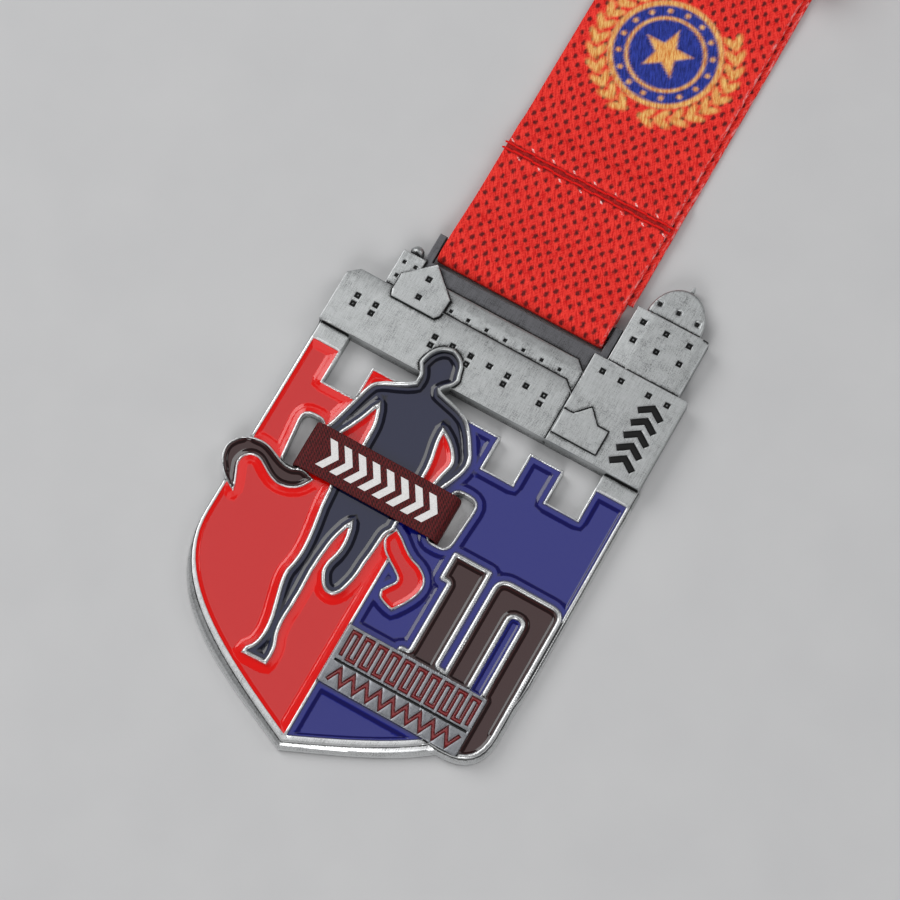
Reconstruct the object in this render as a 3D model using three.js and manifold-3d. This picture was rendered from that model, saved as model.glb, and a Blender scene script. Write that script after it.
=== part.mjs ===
// A shield-shaped finisher medal, cast in one piece, with soft-enamel fields, a sash ribbon
// threaded across the runner, and a neck ribbon looped round the hanger bar.
// Millimetres. The medal lies on its back: z = 0 is the back face, +Z comes out of the front,
// +Y points to the neck ribbon. The origin is the middle of the shield's back face.
import * as THREE from 'three';
import { mergeVertices } from 'three/addons/utils/BufferGeometryUtils.js';
import Module from 'manifold-3d';

const wasm = await Module();
wasm.setup();

// ---------------------------------------------------------------- heights of the casting
const FLANGE_TOP = 1.5;
const FIELD_FLOOR = 2.0;
const RIM_TOP = 3.0;
const FIELD_FILL = 0.55;
const RIDGE_ROOT = 1.6;
const SLOT_LIP_TOP = 3.1;
const TAIL_TOP = 3.2;
const DIGIT_TOP = 3.4;
const RUNNER_TOP = 3.6;
const ROW_TOP = 3.6;
const HEAD_TOP = 5.0;
const WALL_TOP = 4.4;
const RANGE_TOP = 3.9;
const TURRET_TOP = 3.8;
const GABLE_TOP = 5.0;
const KEEP_TOP = 4.8;
const THROUGH = [-1, 7];
const REACH = 100; // half the side of a clipping block that is wider than the medal

// ---------------------------------------------------------------- outline helpers
const toPoints = (pairs) => pairs.map(([x, y]) => new THREE.Vector2(x, y));

function gapToSegment(point, start, end) {
  const along = end.clone().sub(start);
  const reach = point.clone().sub(start).dot(along) / Math.max(along.lengthSq(), 1e-9);
  return point.distanceTo(start.clone().addScaledVector(along, THREE.MathUtils.clamp(reach, 0, 1)));
}

// Drops every point that the run's shape does not need.
function thinned(run, tolerance) {
  if (run.length < 3) return run;
  const gaps = run.map((point) => gapToSegment(point, run[0], run.at(-1)));
  const widest = gaps.indexOf(Math.max(...gaps));
  if (gaps[widest] < tolerance) return [run[0], run.at(-1)];
  const head = thinned(run.slice(0, widest + 1), tolerance);
  return [...head, ...thinned(run.slice(widest), tolerance).slice(1)];
}

// A closed, counter-clockwise outline with no repeated or needless points.
function closed(outline, tolerance = 0.03) {
  const turned = THREE.ShapeUtils.area(outline) < 0 ? [...outline].reverse() : outline;
  return thinned([...turned, turned[0]], tolerance).slice(0, -1);
}

// Joins runs of key points: a run of two is straight, a longer one is a smooth curve.
function traced(...runs) {
  const outline = [];
  for (const run of runs) {
    const keys = run.map(([x, y]) => new THREE.Vector3(x, y, 0));
    if (keys.length < 3) {
      outline.push(...toPoints(run));
      continue;
    }
    const curve = new THREE.CatmullRomCurve3(keys, false, 'centripetal');
    const smooth = curve.getPoints(keys.length * 5);
    outline.push(...smooth.map((point) => new THREE.Vector2(point.x, point.y)));
  }
  return closed(outline);
}

// A polygon whose corners, each [x, y, radius], are rounded.
function rounded(corners, steps = 4) {
  const outline = [];
  corners.forEach(([x, y, radius = 0], index) => {
    const corner = new THREE.Vector2(x, y);
    const [before, after] = [corners.at(index - 1), corners[(index + 1) % corners.length]]
      .map(([otherX, otherY]) => new THREE.Vector2(otherX, otherY).sub(corner).setLength(radius));
    if (radius === 0) {
      outline.push(corner);
      return;
    }
    const bend = new THREE.QuadraticBezierCurve(
      corner.clone().add(before), corner, corner.clone().add(after));
    outline.push(...bend.getPoints(steps));
  });
  return closed(outline, 0.01);
}

const rectangle = (left, bottom, right, top, radius = 0) => rounded(
  [[left, bottom, radius], [right, bottom, radius], [right, top, radius], [left, top, radius]]);

// The outline moved outward by a distance, or inward by a negative one.
function grown(outline, distance, spacing = 0.4) {
  const dense = [];
  outline.forEach((start, index) => {
    const end = outline[(index + 1) % outline.length];
    const parts = Math.ceil(start.distanceTo(end) / spacing);
    for (let part = 0; part < parts; part += 1) dense.push(start.clone().lerp(end, part / parts));
  });
  const moved = dense.map((point, index) => {
    const arriving = point.clone().sub(dense.at(index - 1)).normalize();
    const leaving = dense[(index + 1) % dense.length].clone().sub(point).normalize();
    const normal = new THREE.Vector2(arriving.y + leaving.y, -arriving.x - leaving.x).normalize();
    const cosine = Math.max(normal.dot(new THREE.Vector2(arriving.y, -arriving.x)), 0.5);
    return point.clone().addScaledVector(normal, distance / cosine);
  });
  const reach = Math.abs(distance) * 0.98;
  const clear = (point) => outline.every(
    (start, index) => gapToSegment(point, start, outline[(index + 1) % outline.length]) > reach);
  return closed(moved.filter(clear));
}

// The outline of a band of even width along an open centre line.
function band(centre, width) {
  const side = (sign) => centre.map((point, index) => {
    const arriving = point.clone().sub(centre[Math.max(index - 1, 0)]).normalize();
    const leaving = centre[Math.min(index + 1, centre.length - 1)].clone().sub(point).normalize();
    const normal = new THREE.Vector2(arriving.y + leaving.y, -arriving.x - leaving.x).normalize();
    const across = arriving.lengthSq() > 0 ? arriving : leaving;
    const cosine = Math.max(normal.dot(new THREE.Vector2(across.y, -across.x)), 0.4);
    return point.clone().addScaledVector(normal, sign * width / 2 / cosine);
  });
  const outline = [...side(1), ...side(-1).reverse()];
  return THREE.ShapeUtils.area(outline) < 0 ? outline.reverse() : outline;
}

// ---------------------------------------------------------------- solid helpers
function solid(geometry) {
  geometry.deleteAttribute('normal');
  geometry.deleteAttribute('uv');
  const merged = mergeVertices(geometry);
  return new wasm.Manifold(new wasm.Mesh({
    numProp: 3,
    vertProperties: new Float32Array(merged.attributes.position.array),
    triVerts: new Uint32Array(merged.index.array),
  }));
}

function extruded(outline, depth, holes = []) {
  const shape = new THREE.Shape(outline);
  holes.forEach((hole) => shape.holes.push(new THREE.Path(hole)));
  return new THREE.ExtrudeGeometry(shape, { depth, bevelEnabled: false });
}

// An outline in X and Y, standing from one height to another.
const slab = (outline, bottom, top, holes) => solid(
  extruded(outline, top - bottom, holes).translate(0, 0, bottom));

// An outline in Y and Z, running along X.
const alongX = (outline, left, right, holes) => solid(extruded(outline, right - left, holes)
  .applyMatrix4(new THREE.Matrix4().makeBasis(
    new THREE.Vector3(0, 1, 0), new THREE.Vector3(0, 0, 1), new THREE.Vector3(1, 0, 0)))
  .translate(left, 0, 0));

// An outline in X and Z, running along Y.
const alongY = (outline, near, far, holes) => solid(extruded(outline, far - near, holes)
  .applyMatrix4(new THREE.Matrix4().makeBasis(
    new THREE.Vector3(1, 0, 0), new THREE.Vector3(0, 0, 1), new THREE.Vector3(0, -1, 0)))
  .translate(0, far, 0));

const joined = (solids) => solids.reduce((whole, part) => whole.add(part));

// ---------------------------------------------------------------- the shield
// The shield has straight sides and a curved, pointed foot.
function shieldOutline(side, tip, bulge, top) {
  const curve = new THREE.CubicBezierCurve(
    new THREE.Vector2(0, tip), new THREE.Vector2(side * 0.55, tip + 8.8),
    new THREE.Vector2(side, bulge), new THREE.Vector2(side, -3.5));
  const right = curve.getPoints(20);
  const left = right.map((point) => new THREE.Vector2(-point.x, point.y)).reverse();
  return [...right, new THREE.Vector2(side, top), new THREE.Vector2(-side, top), ...left.slice(0, -1)];
}

const CASTLE_FOOT = 40.8;
const MERLON_TOP = 37.4;
const NOTCH_FLOOR = 30.2;
const NOTCH_LIP = 0.45;
const NOTCHES = [[-29.0, -21.9], [6.9, 13.5], [21.0, 27.9]];
const LEDGES = [-29.0, 27.9];

const notchCuts = (lip) => NOTCHES.map(([left, right]) => slab(
  rectangle(left - lip, NOTCH_FLOOR - lip, right + lip, CASTLE_FOOT + 0.1), ...THROUGH));
const castleGap = slab(rectangle(LEDGES[0], MERLON_TOP, LEDGES[1], CASTLE_FOOT), ...THROUGH);

const flange = slab(shieldOutline(36.0, -36.9, -22, CASTLE_FOOT + 0.1), 0, FLANGE_TOP);
const plate = slab(shieldOutline(35.6, -35.5, -18.5, CASTLE_FOOT + 0.1), 0, RIM_TOP);
const fieldArea = slab(shieldOutline(35.0, -34.1, -17.5, MERLON_TOP - NOTCH_LIP), FIELD_FLOOR, RIM_TOP)
  .subtract(joined(notchCuts(NOTCH_LIP)));

// ---------------------------------------------------------------- slots for the sash ribbon
const SLOT_LIP = 0.55;
const slots = [
  rounded([[-27.9, 12.4, 0.8], [-24.4, 12.4, 0.6], [-24.4, 23.3, 1.6], [-29.1, 23.3, 2.2]]),
  rounded([[4.6, 12.4, 1.2], [8.9, 12.4, 1.8], [9.6, 23.7, 2.2], [4.6, 23.7, 1.6]]),
];
const slotCuts = joined(slots.map((slot) => slab(slot, ...THROUGH)));
const slotLips = joined(slots.map((slot) => slab(grown(slot, SLOT_LIP), RIDGE_ROOT, SLOT_LIP_TOP)));

// ---------------------------------------------------------------- the runner
const RUNNER_RIDGE = 0.8;
const RUNNER_FLOOR = 2.4;
const RUNNER_FILL = 0.6;
const HEAD_STEP = CASTLE_FOOT - 1.2; // above this line the runner stands as high as the castle
const runner = traced(
  // Head, from the left ear over the crown to the right ear and down the neck.
  [[-13.0, 38.7], [-13.0, 40.2], [-13.6, 41.5], [-14.2, 42.5], [-13.9, 44.2], [-13.2, 45.9], [-11.8, 47.4],
    [-9.7, 48.1], [-7.6, 47.3], [-6.3, 45.9], [-5.8, 44.2], [-5.4, 42.7], [-5.9, 41.4], [-7.0, 40.3],
    [-7.6, 39.5]],
  // Right shoulder, elbow and hand on the hip.
  [[-7.4, 39.2], [-5.0, 38.6], [-2.6, 38.0], [-0.8, 37.2], [0.6, 36.0], [1.9, 34.4], [3.1, 32.5],
    [4.1, 30.8], [4.5, 29.2], [4.3, 27.3], [3.7, 25.5], [2.7, 23.2], [1.5, 20.6], [0.1, 18.2],
    [-1.2, 16.2], [-1.7, 14.4], [-1.8, 12.5]],
  // Bent leg, down from the hip and up to the fork.
  [[-1.9, 10.6], [-2.7, 9.2], [-2.9, 7.4], [-3.0, 5.0], [-3.3, 2.0], [-3.4, -0.5], [-3.8, -2.6],
    [-4.6, -5.0], [-5.8, -6.2], [-7.2, -6.3], [-8.4, -5.6], [-9.3, -4.4], [-10.0, -2.8], [-10.0, -1.0],
    [-9.4, 1.2], [-9.2, 3.4], [-9.4, 5.3], [-9.8, 7.2]],
  // Inner side of the standing leg down to the foot.
  [[-9.8, 7.2], [-10.4, 5.2], [-10.9, 3.0], [-11.2, 0.0], [-11.4, -4.0], [-11.2, -8.0], [-11.2, -12.0],
    [-11.3, -15.0], [-10.9, -18.0], [-10.1, -20.0], [-9.8, -22.0], [-9.9, -24.2]],
  [[-9.9, -24.2], [-15.4, -24.4]],
  // Outer side of the standing leg up to the other hand, elbow and shoulder.
  [[-15.2, -22.9], [-14.2, -21.6], [-13.7, -19.0], [-14.0, -16.0], [-14.6, -13.5], [-15.3, -11.0],
    [-15.9, -8.5], [-16.1, -6.3], [-15.7, -4.2], [-15.5, -2.0], [-15.6, 0.5], [-15.9, 3.0],
    [-16.3, 5.6], [-16.8, 8.5], [-17.1, 12.0], [-17.7, 14.8], [-19.4, 16.8], [-21.6, 18.9],
    [-24.0, 21.4], [-23.2, 24.4], [-22.3, 28.0], [-21.5, 31.0], [-20.9, 33.2], [-20.1, 34.8],
    [-18.6, 35.9], [-16.3, 36.9], [-14.2, 37.9]],
);
const armGaps = [
  traced([[-17.0, 30.5], [-17.9, 27.8], [-19.1, 25.0], [-20.3, 22.4], [-20.2, 20.8]],
    [[-20.2, 20.8], [-18.2, 18.6], [-16.4, 16.4]],
    [[-16.4, 16.4], [-15.9, 20.0], [-15.9, 24.0], [-16.1, 27.5], [-17.0, 30.5]]),
  traced([[-3.1, 32.3], [-2.9, 30.2], [-2.3, 27.4], [-1.9, 24.0], [-2.2, 18.4]],
    [[-2.2, 18.4], [-1.0, 19.8], [-0.2, 22.0]],
    [[-0.2, 22.0], [0.4, 25.2], [0.9, 27.8], [0.0, 29.6], [-1.5, 31.2], [-3.1, 32.3]]),
];
const armGapSolids = armGaps.map((gap) => slab(gap, FIELD_FLOOR, HEAD_TOP));
const runnerCell = joined(armGaps.map((gap) => slab(grown(gap, RUNNER_RIDGE), ...THROUGH)));
const runnerFill = slab(grown(runner, -RUNNER_RIDGE), RUNNER_FLOOR, HEAD_TOP + 1).subtract(runnerCell);
const runnerRaised = slab(runner, 0, HEAD_TOP)
  .subtract(slab(rectangle(-REACH, -REACH, REACH, HEAD_STEP), RUNNER_TOP, HEAD_TOP + 1));

// ---------------------------------------------------------------- the two flying sash tails
const TAIL_RIDGE = 0.45;
const SIDE_TAIL_FLOOR = 2.4;
const HIP_TAIL_FLOOR = 2.1;
const sideTail = traced(
  [[-21.0, 11.7], [-23.4, 12.3], [-25.2, 11.6], [-27.0, 11.6], [-28.6, 12.1], [-30.2, 12.8],
    [-32.0, 13.4], [-34.2, 13.4], [-36.2, 12.7], [-37.7, 11.3], [-38.4, 9.6], [-38.1, 7.6],
    [-37.1, 6.0], [-36.2, 4.9], [-34.8, 3.9], [-33.5, 3.0]],
  [[-33.5, 3.0], [-34.1, 4.6], [-34.9, 6.4], [-35.4, 8.0], [-34.9, 9.8], [-33.4, 10.9],
    [-31.6, 10.8], [-30.0, 9.9], [-28.4, 8.9], [-26.8, 8.3], [-25.2, 8.3], [-23.6, 8.8],
    [-22.2, 9.8], [-21.0, 11.7]],
);
const hipTail = traced(
  [[-1.4, 10.9], [0.2, 9.9], [1.9, 8.5], [3.9, 7.3], [5.9, 6.6], [7.4, 5.5], [8.2, 4.0], [8.0, 1.9],
    [7.0, -0.3], [6.1, -1.7], [5.4, -2.7]],
  [[5.4, -2.7], [3.9, -2.3], [2.5, -1.6], [2.2, -0.6]],
  [[2.2, -0.6], [3.1, 0.8], [3.9, 2.0], [3.7, 3.1], [2.6, 4.1], [1.2, 5.0], [0.0, 5.8], [-1.4, 7.0],
    [-2.2, 8.6], [-1.4, 10.9]],
);

// ---------------------------------------------------------------- the number and the two rows
const DIGIT_RIDGE = 0.95;
const DIGIT_FLOOR = 2.2;
const ZERO_FLANGE = 0.7; // the flange follows the zero round the foot of the shield
const one = rounded([[10.3, -11.6], [20.4, -11.6], [20.4, -8.1, 0.9], [18.9, -8.1, 0.3], [18.9, 13.0, 0.7],
  [10.4, 13.0, 0.7], [10.4, 6.7, 0.6], [12.2, 6.7, 0.3], [12.2, -8.1, 0.3], [10.3, -8.1, 0.9]]);
const zero = rounded([[20.2, -22.3, 6.5], [35.1, -22.3, 7.5], [35.1, 13.0, 3.2], [20.2, 13.0, 3.2]], 8);
const zeroEye = rectangle(26.3, -16.0, 28.6, 7.0, 1.1);
const digitRaised = joined([slab(one, RIDGE_ROOT, DIGIT_TOP), slab(zero, 0, DIGIT_TOP)]);
const oneFill = slab(grown(one, -DIGIT_RIDGE), DIGIT_FLOOR, HEAD_TOP);
const zeroFill = slab(grown(zero, -DIGIT_RIDGE), DIGIT_FLOOR, HEAD_TOP)
  .subtract(slab(grown(zeroEye, DIGIT_RIDGE), ...THROUGH));
const zeroEyeCut = slab(zeroEye, FIELD_FLOOR, HEAD_TOP);

const ROW_LEFT = 1.5;
const ROW_PITCH = 1.45;
const ROW_STROKES = 20;
const ROW_WIDTH = 0.8;
const ROW_FLOOR = 2.8;
const rowPad = slab(rectangle(0.0, -21.9, 30.2, -9.4, 0.4), RIDGE_ROOT, ROW_TOP);
const rowGroove = slab(rectangle(0.9, -17.0, 29.8, -16.5), RIM_TOP, HEAD_TOP);

// The upper row is a serpentine of upright strokes, and the lower row a zigzag.
function strokeRow(low, high, upright) {
  const path = [];
  for (let stroke = 0; stroke < ROW_STROKES; stroke += 1) {
    const x = ROW_LEFT + stroke * ROW_PITCH;
    const ends = stroke % 2 ? [high, low] : [low, high];
    if (upright) path.push([x, ends[0]], [x, ends[1]]);
    else path.push([x, ends[0]]);
  }
  return band(toPoints(path), ROW_WIDTH);
}
const rowOutlines = [strokeRow(-15.7, -10.4, true), strokeRow(-20.9, -18.0, false)];

// ---------------------------------------------------------------- the castle and the hanger
const WALL_RIGHT = 14.9;
const wall = slab(toPoints([[-36.0, CASTLE_FOOT], [WALL_RIGHT, CASTLE_FOOT], [WALL_RIGHT, 51.4],
  [12.4, 53.6], [-33.8, 53.8], [-36.0, 51.9]]), 0, WALL_TOP);
const range = slab(toPoints([[-18.0, 50.0], [WALL_RIGHT, 50.0], [WALL_RIGHT, 56.2], [12.4, 58.6],
  [-18.0, 58.6]]), 0, RANGE_TOP);
const gable = slab(toPoints([[-25.8, 51.6], [-16.2, 51.6], [-15.4, 52.6], [-15.2, 56.4], [-20.9, 61.7],
  [-26.3, 56.6], [-26.3, 52.8]]), 0, GABLE_TOP);
const turret = slab(rectangle(-28.5, 53.2, -23.5, 61.6), 0, TURRET_TOP)
  .add(solid(new THREE.SphereGeometry(1.5, 20, 12).translate(-26.1, 62.5, 2.0)));
const keep = slab(rectangle(WALL_RIGHT - 0.1, CASTLE_FOOT, 35.5, 61.0), 0, KEEP_TOP);
const annex = slab(toPoints([[15.0, 42.8], [24.8, 42.8], [24.8, 48.0], [22.4, 48.0], [19.7, 50.8],
  [17.1, 48.0], [15.0, 48.0]]), KEEP_TOP - 1, KEEP_TOP + 0.15);
const TOWER_TOP = 4.5;
const tower = alongY(toPoints([[17.5, 0], [33.3, 0], [33.3, 4.2], [32.0, TOWER_TOP], [21.4, TOWER_TOP],
  [17.5, 4.25]]), 60.8, 73.9);

const DOME = { x: 25.3, y: 74.0, halfWidth: 5.1, height: 6.7, edge: 0.85, top: 4.1 };
const domeShape = new THREE.Shape();
domeShape.absellipse(DOME.x, DOME.y, DOME.halfWidth, DOME.height, 0, Math.PI);
domeShape.lineTo(DOME.x - DOME.halfWidth, DOME.y - 2);
domeShape.lineTo(DOME.x + DOME.halfWidth, DOME.y - 2);
const finial = slab(toPoints([[24.4, 81.0], [26.2, 81.0], [25.5, 83.2], [25.1, 83.2]]), 0.6, 2.8);
const dome = solid(new THREE.ExtrudeGeometry(domeShape, {
  depth: DOME.top - 2 * DOME.edge,
  bevelThickness: DOME.edge,
  bevelSize: DOME.edge,
  bevelSegments: 3,
  curveSegments: 28,
}).translate(0, 0, DOME.edge)).add(finial);

const LOOP = {
  left: -24.0, right: 17.2, post: 1.6, foot: 55.0, sill: 62.0, head: 68.2, bottom: 1.2, top: 3.2,
};
const BAR = { y: 66.9, z: 2.2, halfWidth: 1.2, halfHeight: 1.0, inset: 0.5 };
const barSection = new THREE.EllipseCurve(BAR.y, BAR.z, BAR.halfWidth, BAR.halfHeight).getPoints(24);
const hanger = joined([
  slab(rectangle(LOOP.left, LOOP.foot, LOOP.right, LOOP.sill), LOOP.bottom, LOOP.top),
  slab(rectangle(LOOP.left, LOOP.foot, LOOP.left + LOOP.post, LOOP.head), LOOP.bottom, LOOP.top),
  slab(rectangle(LOOP.right - LOOP.post, LOOP.foot, LOOP.right, LOOP.head), LOOP.bottom, LOOP.top),
  alongX(barSection.slice(0, -1), LOOP.left + BAR.inset, LOOP.right - BAR.inset),
]);

// Windows are shallow square pockets, listed as [x, y, face height].
const WINDOW = 1.15;
const ROUND_WINDOW = 0.7;
const WINDOW_DEPTH = 0.3;
const WINDOW_COLUMNS = [-14.1, -10.2, -6.1, -1.9, 2.2, 6.3, 10.3];
const windowCuts = [
  ...[-31.6, -27.5, -14.1, 2.2, 10.3].flatMap((x) => [[x, 48.5, WALL_TOP], [x, 46.6, WALL_TOP]]),
  ...[-10.2, -6.1, -1.9, 6.3].map((x) => [x, 48.5, WALL_TOP]), [-6.1, 46.6, WALL_TOP],
  [-20.9, 58.1, GABLE_TOP], [-20.9, 53.9, GABLE_TOP],
  ...[17.9, 22.0, 28.1, 32.2].map((x) => [x, 58.4, KEEP_TOP]),
  ...[20.0, 25.1, 30.2].flatMap((x) => [[x, 71.3, TOWER_TOP - 0.1], [x, 67.1, TOWER_TOP - 0.1]]),
].map(([x, y, face]) => slab(
  rectangle(x - WINDOW / 2, y - WINDOW / 2, x + WINDOW / 2, y + WINDOW / 2), face - WINDOW_DEPTH, face + 1));
const roundWindowCuts = [
  ...WINDOW_COLUMNS.map((x) => [x, 54.8, RANGE_TOP]),
  [-27.2, 59.3, TURRET_TOP], [-24.7, 59.3, TURRET_TOP], [-27.2, 56.1, TURRET_TOP],
  [21.0, 76.4, DOME.top], [25.1, 76.5, DOME.top], [29.4, 76.2, DOME.top],
].map(([x, y, face]) => slab(rectangle(x - ROUND_WINDOW / 2, y - ROUND_WINDOW / 2,
  x + ROUND_WINDOW / 2, y + ROUND_WINDOW / 2), face - WINDOW_DEPTH, face + 1));

// Black chevrons stand one above another on the keep.
const CHEVRON = { x: 30.2, first: 43.2, pitch: 2.9, halfWidth: 2.5, rise: 1.7, width: 1.3, count: 5 };
const CHEVRON_DEPTH = 0.3;
const chevrons = Array.from({ length: CHEVRON.count }, (_, index) => {
  const foot = CHEVRON.first + index * CHEVRON.pitch;
  return band(toPoints([[CHEVRON.x - CHEVRON.halfWidth, foot], [CHEVRON.x, foot + CHEVRON.rise],
    [CHEVRON.x + CHEVRON.halfWidth, foot]]), CHEVRON.width);
});
const chevronCuts = chevrons.map((outline) => slab(outline, KEEP_TOP - CHEVRON_DEPTH, KEEP_TOP + 1));

// ---------------------------------------------------------------- the casting
const SASH_RECESS = { left: -25.0, right: 5.2, low: 12.0, high: 23.1, depth: 0.9 };
const divide = slab(rectangle(-0.3, -35, 0.3, 6.4), RIDGE_ROOT, RIM_TOP);
const tailRaised = joined([
  slab(grown(sideTail, TAIL_RIDGE), 0, TAIL_TOP),
  slab(grown(hipTail, TAIL_RIDGE), RIDGE_ROOT, TAIL_TOP),
]);
const sideTailCut = slab(sideTail, SIDE_TAIL_FLOOR, HEAD_TOP);
const hipTailCut = slab(hipTail, HIP_TAIL_FLOOR, HEAD_TOP);

const casting = joined([flange, plate])
  .subtract(joined([...notchCuts(0), castleGap, fieldArea]))
  .add(joined([slotLips, divide, digitRaised, slab(grown(zero, ZERO_FLANGE), 0, FLANGE_TOP)]))
  .subtract(joined([oneFill, zeroFill, zeroEyeCut]))
  .add(rowPad)
  .subtract(joined([rowGroove, ...rowOutlines.map((outline) => slab(outline, ROW_FLOOR, HEAD_TOP))]))
  .add(tailRaised)
  .subtract(joined([sideTailCut, hipTailCut]))
  .add(joined([wall, range, gable, turret, keep, annex, tower, dome, hanger]))
  .subtract(joined([...windowCuts, ...roundWindowCuts, ...chevronCuts]))
  .add(runnerRaised)
  .subtract(joined([runnerFill, ...armGapSolids]))
  .subtract(slotCuts)
  .subtract(slab(rectangle(SASH_RECESS.left, SASH_RECESS.low, SASH_RECESS.right, SASH_RECESS.high),
    -1, SASH_RECESS.depth));

// ---------------------------------------------------------------- the enamel
const fieldFill = fieldArea
  .intersect(slab(rectangle(-REACH, -REACH, REACH, REACH), FIELD_FLOOR - 1, FIELD_FLOOR + FIELD_FILL))
  .subtract(casting)
  .subtract(slotCuts);
const fieldCells = fieldFill.decompose();

// The field cell that covers a point.
function cellAt(x, y) {
  const probe = slab(rectangle(x - 0.05, y - 0.05, x + 0.05, y + 0.05), FIELD_FLOOR, FIELD_FLOOR + 0.2);
  return fieldCells.find((cell) => cell.intersect(probe).volume() > 0);
}

const filled = (pocket, floor, depth) => pocket
  .intersect(slab(rectangle(-REACH, -REACH, REACH, REACH), floor - 1, floor + depth))
  .subtract(casting);

// ---------------------------------------------------------------- the sash ribbon
const SASH = { left: -25.7, right: 6.6, low: 12.6, high: 22.5, thickness: 0.6, back: 0.15, front: 4.3 };
const sashOuter = rounded([[SASH.left, SASH.back, 0.7], [SASH.right, SASH.back, 0.7],
  [SASH.right, SASH.front, 1.4], [SASH.left, SASH.front, 1.4]], 6);
const sashInner = rounded([[SASH.left + SASH.thickness, SASH.back + SASH.thickness, 0.2],
  [SASH.right - SASH.thickness, SASH.back + SASH.thickness, 0.2],
  [SASH.right - SASH.thickness, SASH.front - SASH.thickness, 0.9],
  [SASH.left + SASH.thickness, SASH.front - SASH.thickness, 0.9]], 6);

// ---------------------------------------------------------------- the neck ribbon
// One strip: sewn round the bar, up as the front strap, folded away in a bundle with the back
// strap, and down again as the back strap to its cut end inside the loop.
const STRIP = { width: 37.2, centre: -3.4, thickness: 0.8, gap: 0.05, backShift: 1.3 };
const LAYER = STRIP.thickness + STRIP.gap;
const LOW = STRIP.gap + STRIP.thickness / 2;
const FOLD = { y: 65.15, radius: 1.75 };
const FRONT_TOP = LOW + 2 * FOLD.radius;
const SEAM = { y: 91.3, spread: 0.6 };
const LAP = 96.5; // the near end of the strip, under both straps
const LAP_END = 99.5; // beyond this line the straps lie one layer lower
const CUT_END = 74.0; // the cut end of the back strap
const RISE = [130, 148]; // the straps rise into the bundle here
const BUNDLE = { near: 152.5, far: 220, runs: 5, lift: 0.45 };
const BUNDLE_FOOT = LOW + BUNDLE.lift;

// Points of a half turn in Y and Z, from below to above, bulging toward -Y or +Y.
function halfTurn(y, lower, upper, direction) {
  const radius = (upper - lower) / 2;
  return Array.from({ length: 7 }, (_, index) => {
    const angle = -Math.PI / 2 + index * Math.PI / 6;
    return [y + direction * radius * Math.cos(angle), lower + radius + radius * Math.sin(angle)];
  });
}

// The heights of the two straps change places at every fold of the bundle.
function bundlePath(startsLow) {
  const path = [];
  let low = startsLow;
  for (let run = 0; run < BUNDLE.runs - 1; run += 1) {
    const base = BUNDLE_FOOT + run * 2 * LAYER;
    const height = base + (low ? 0 : LAYER);
    const next = base + 2 * LAYER + (low ? LAYER : 0);
    path.push(...halfTurn(run % 2 ? BUNDLE.near : BUNDLE.far, height, next, run % 2 ? -1 : 1));
    low = !low;
  }
  return path;
}

const topLayer = BUNDLE_FOOT + (BUNDLE.runs - 1) * 2 * LAYER;
const farEnd = [BUNDLE.far + LAYER, topLayer + LAYER / 2];
const frontStrap = band(toPoints([
  [LAP, LOW], ...halfTurn(FOLD.y, LOW, FRONT_TOP, -1), [FOLD.y + 4.5, FRONT_TOP],
  [80, LOW + 2 * LAYER], [LAP, LOW + 2 * LAYER], [LAP_END, LOW + LAYER],
  [RISE[0], LOW + LAYER], [RISE[1], BUNDLE_FOOT + LAYER],
  ...bundlePath(false), [BUNDLE.far, topLayer + LAYER], farEnd,
]), STRIP.thickness);
const backStrap = band(toPoints([
  [CUT_END, LOW + LAYER], [LAP, LOW + LAYER], [LAP_END, LOW],
  [RISE[0], LOW], [RISE[1], BUNDLE_FOOT],
  ...bundlePath(true), [BUNDLE.far, topLayer], farEnd,
]), STRIP.thickness);
const stripLeft = STRIP.centre - STRIP.width / 2;
const neckRibbon = alongX(frontStrap, stripLeft, stripLeft + STRIP.width)
  .add(alongX(backStrap, stripLeft + STRIP.backShift, stripLeft + STRIP.backShift + STRIP.width));

// A narrow elastic tie holds the folded bundle.
const TIE = { middle: 186, width: 6, thickness: 0.4, slack: 0.1 };
const bundleRight = stripLeft + STRIP.width + STRIP.backShift;
const bundleTop = topLayer + LAYER + STRIP.thickness / 2;
const tieInner = rectangle(stripLeft - TIE.slack, TIE.thickness + STRIP.gap, bundleRight + TIE.slack,
  bundleTop + TIE.slack);
const tieOuter = rectangle(stripLeft - TIE.slack - TIE.thickness, STRIP.gap,
  bundleRight + TIE.slack + TIE.thickness, bundleTop + TIE.slack + TIE.thickness);

const STITCH = { width: 0.4, height: 0.25, inset: 0.9 };
const stitchTop = LOW + 2 * LAYER + STRIP.thickness / 2;
const stitchRow = (y) => alongX(rectangle(y - STITCH.width / 2, stitchTop, y + STITCH.width / 2,
  stitchTop + STITCH.height), stripLeft + STITCH.inset, stripLeft + STRIP.width - STITCH.inset);

// ---------------------------------------------------------------- materials
const finish = (color, roughness, metalness = 0) => new THREE.MeshStandardMaterial(
  { color, roughness, metalness });
const SILVER = finish('#afb2af', 0.38, 0.9);
const RED = finish('#c43e40', 0.25);
const BLUE = finish('#40427a', 0.25);
const NAVY = finish('#3e404c', 0.25);
const BROWN = finish('#3a282a', 0.3);
const MARK_RED = finish('#7c1a1c', 0.35);
const BLACK = finish('#1c1c1e', 0.4);
const SASH_CLOTH = finish('#551616', 0.8);
const NECK_CLOTH = finish('#e02d23', 0.75);
const TIE_BLACK = finish('#202022', 0.7);

// ---------------------------------------------------------------- the parts
const medal = new THREE.Group();

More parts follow.
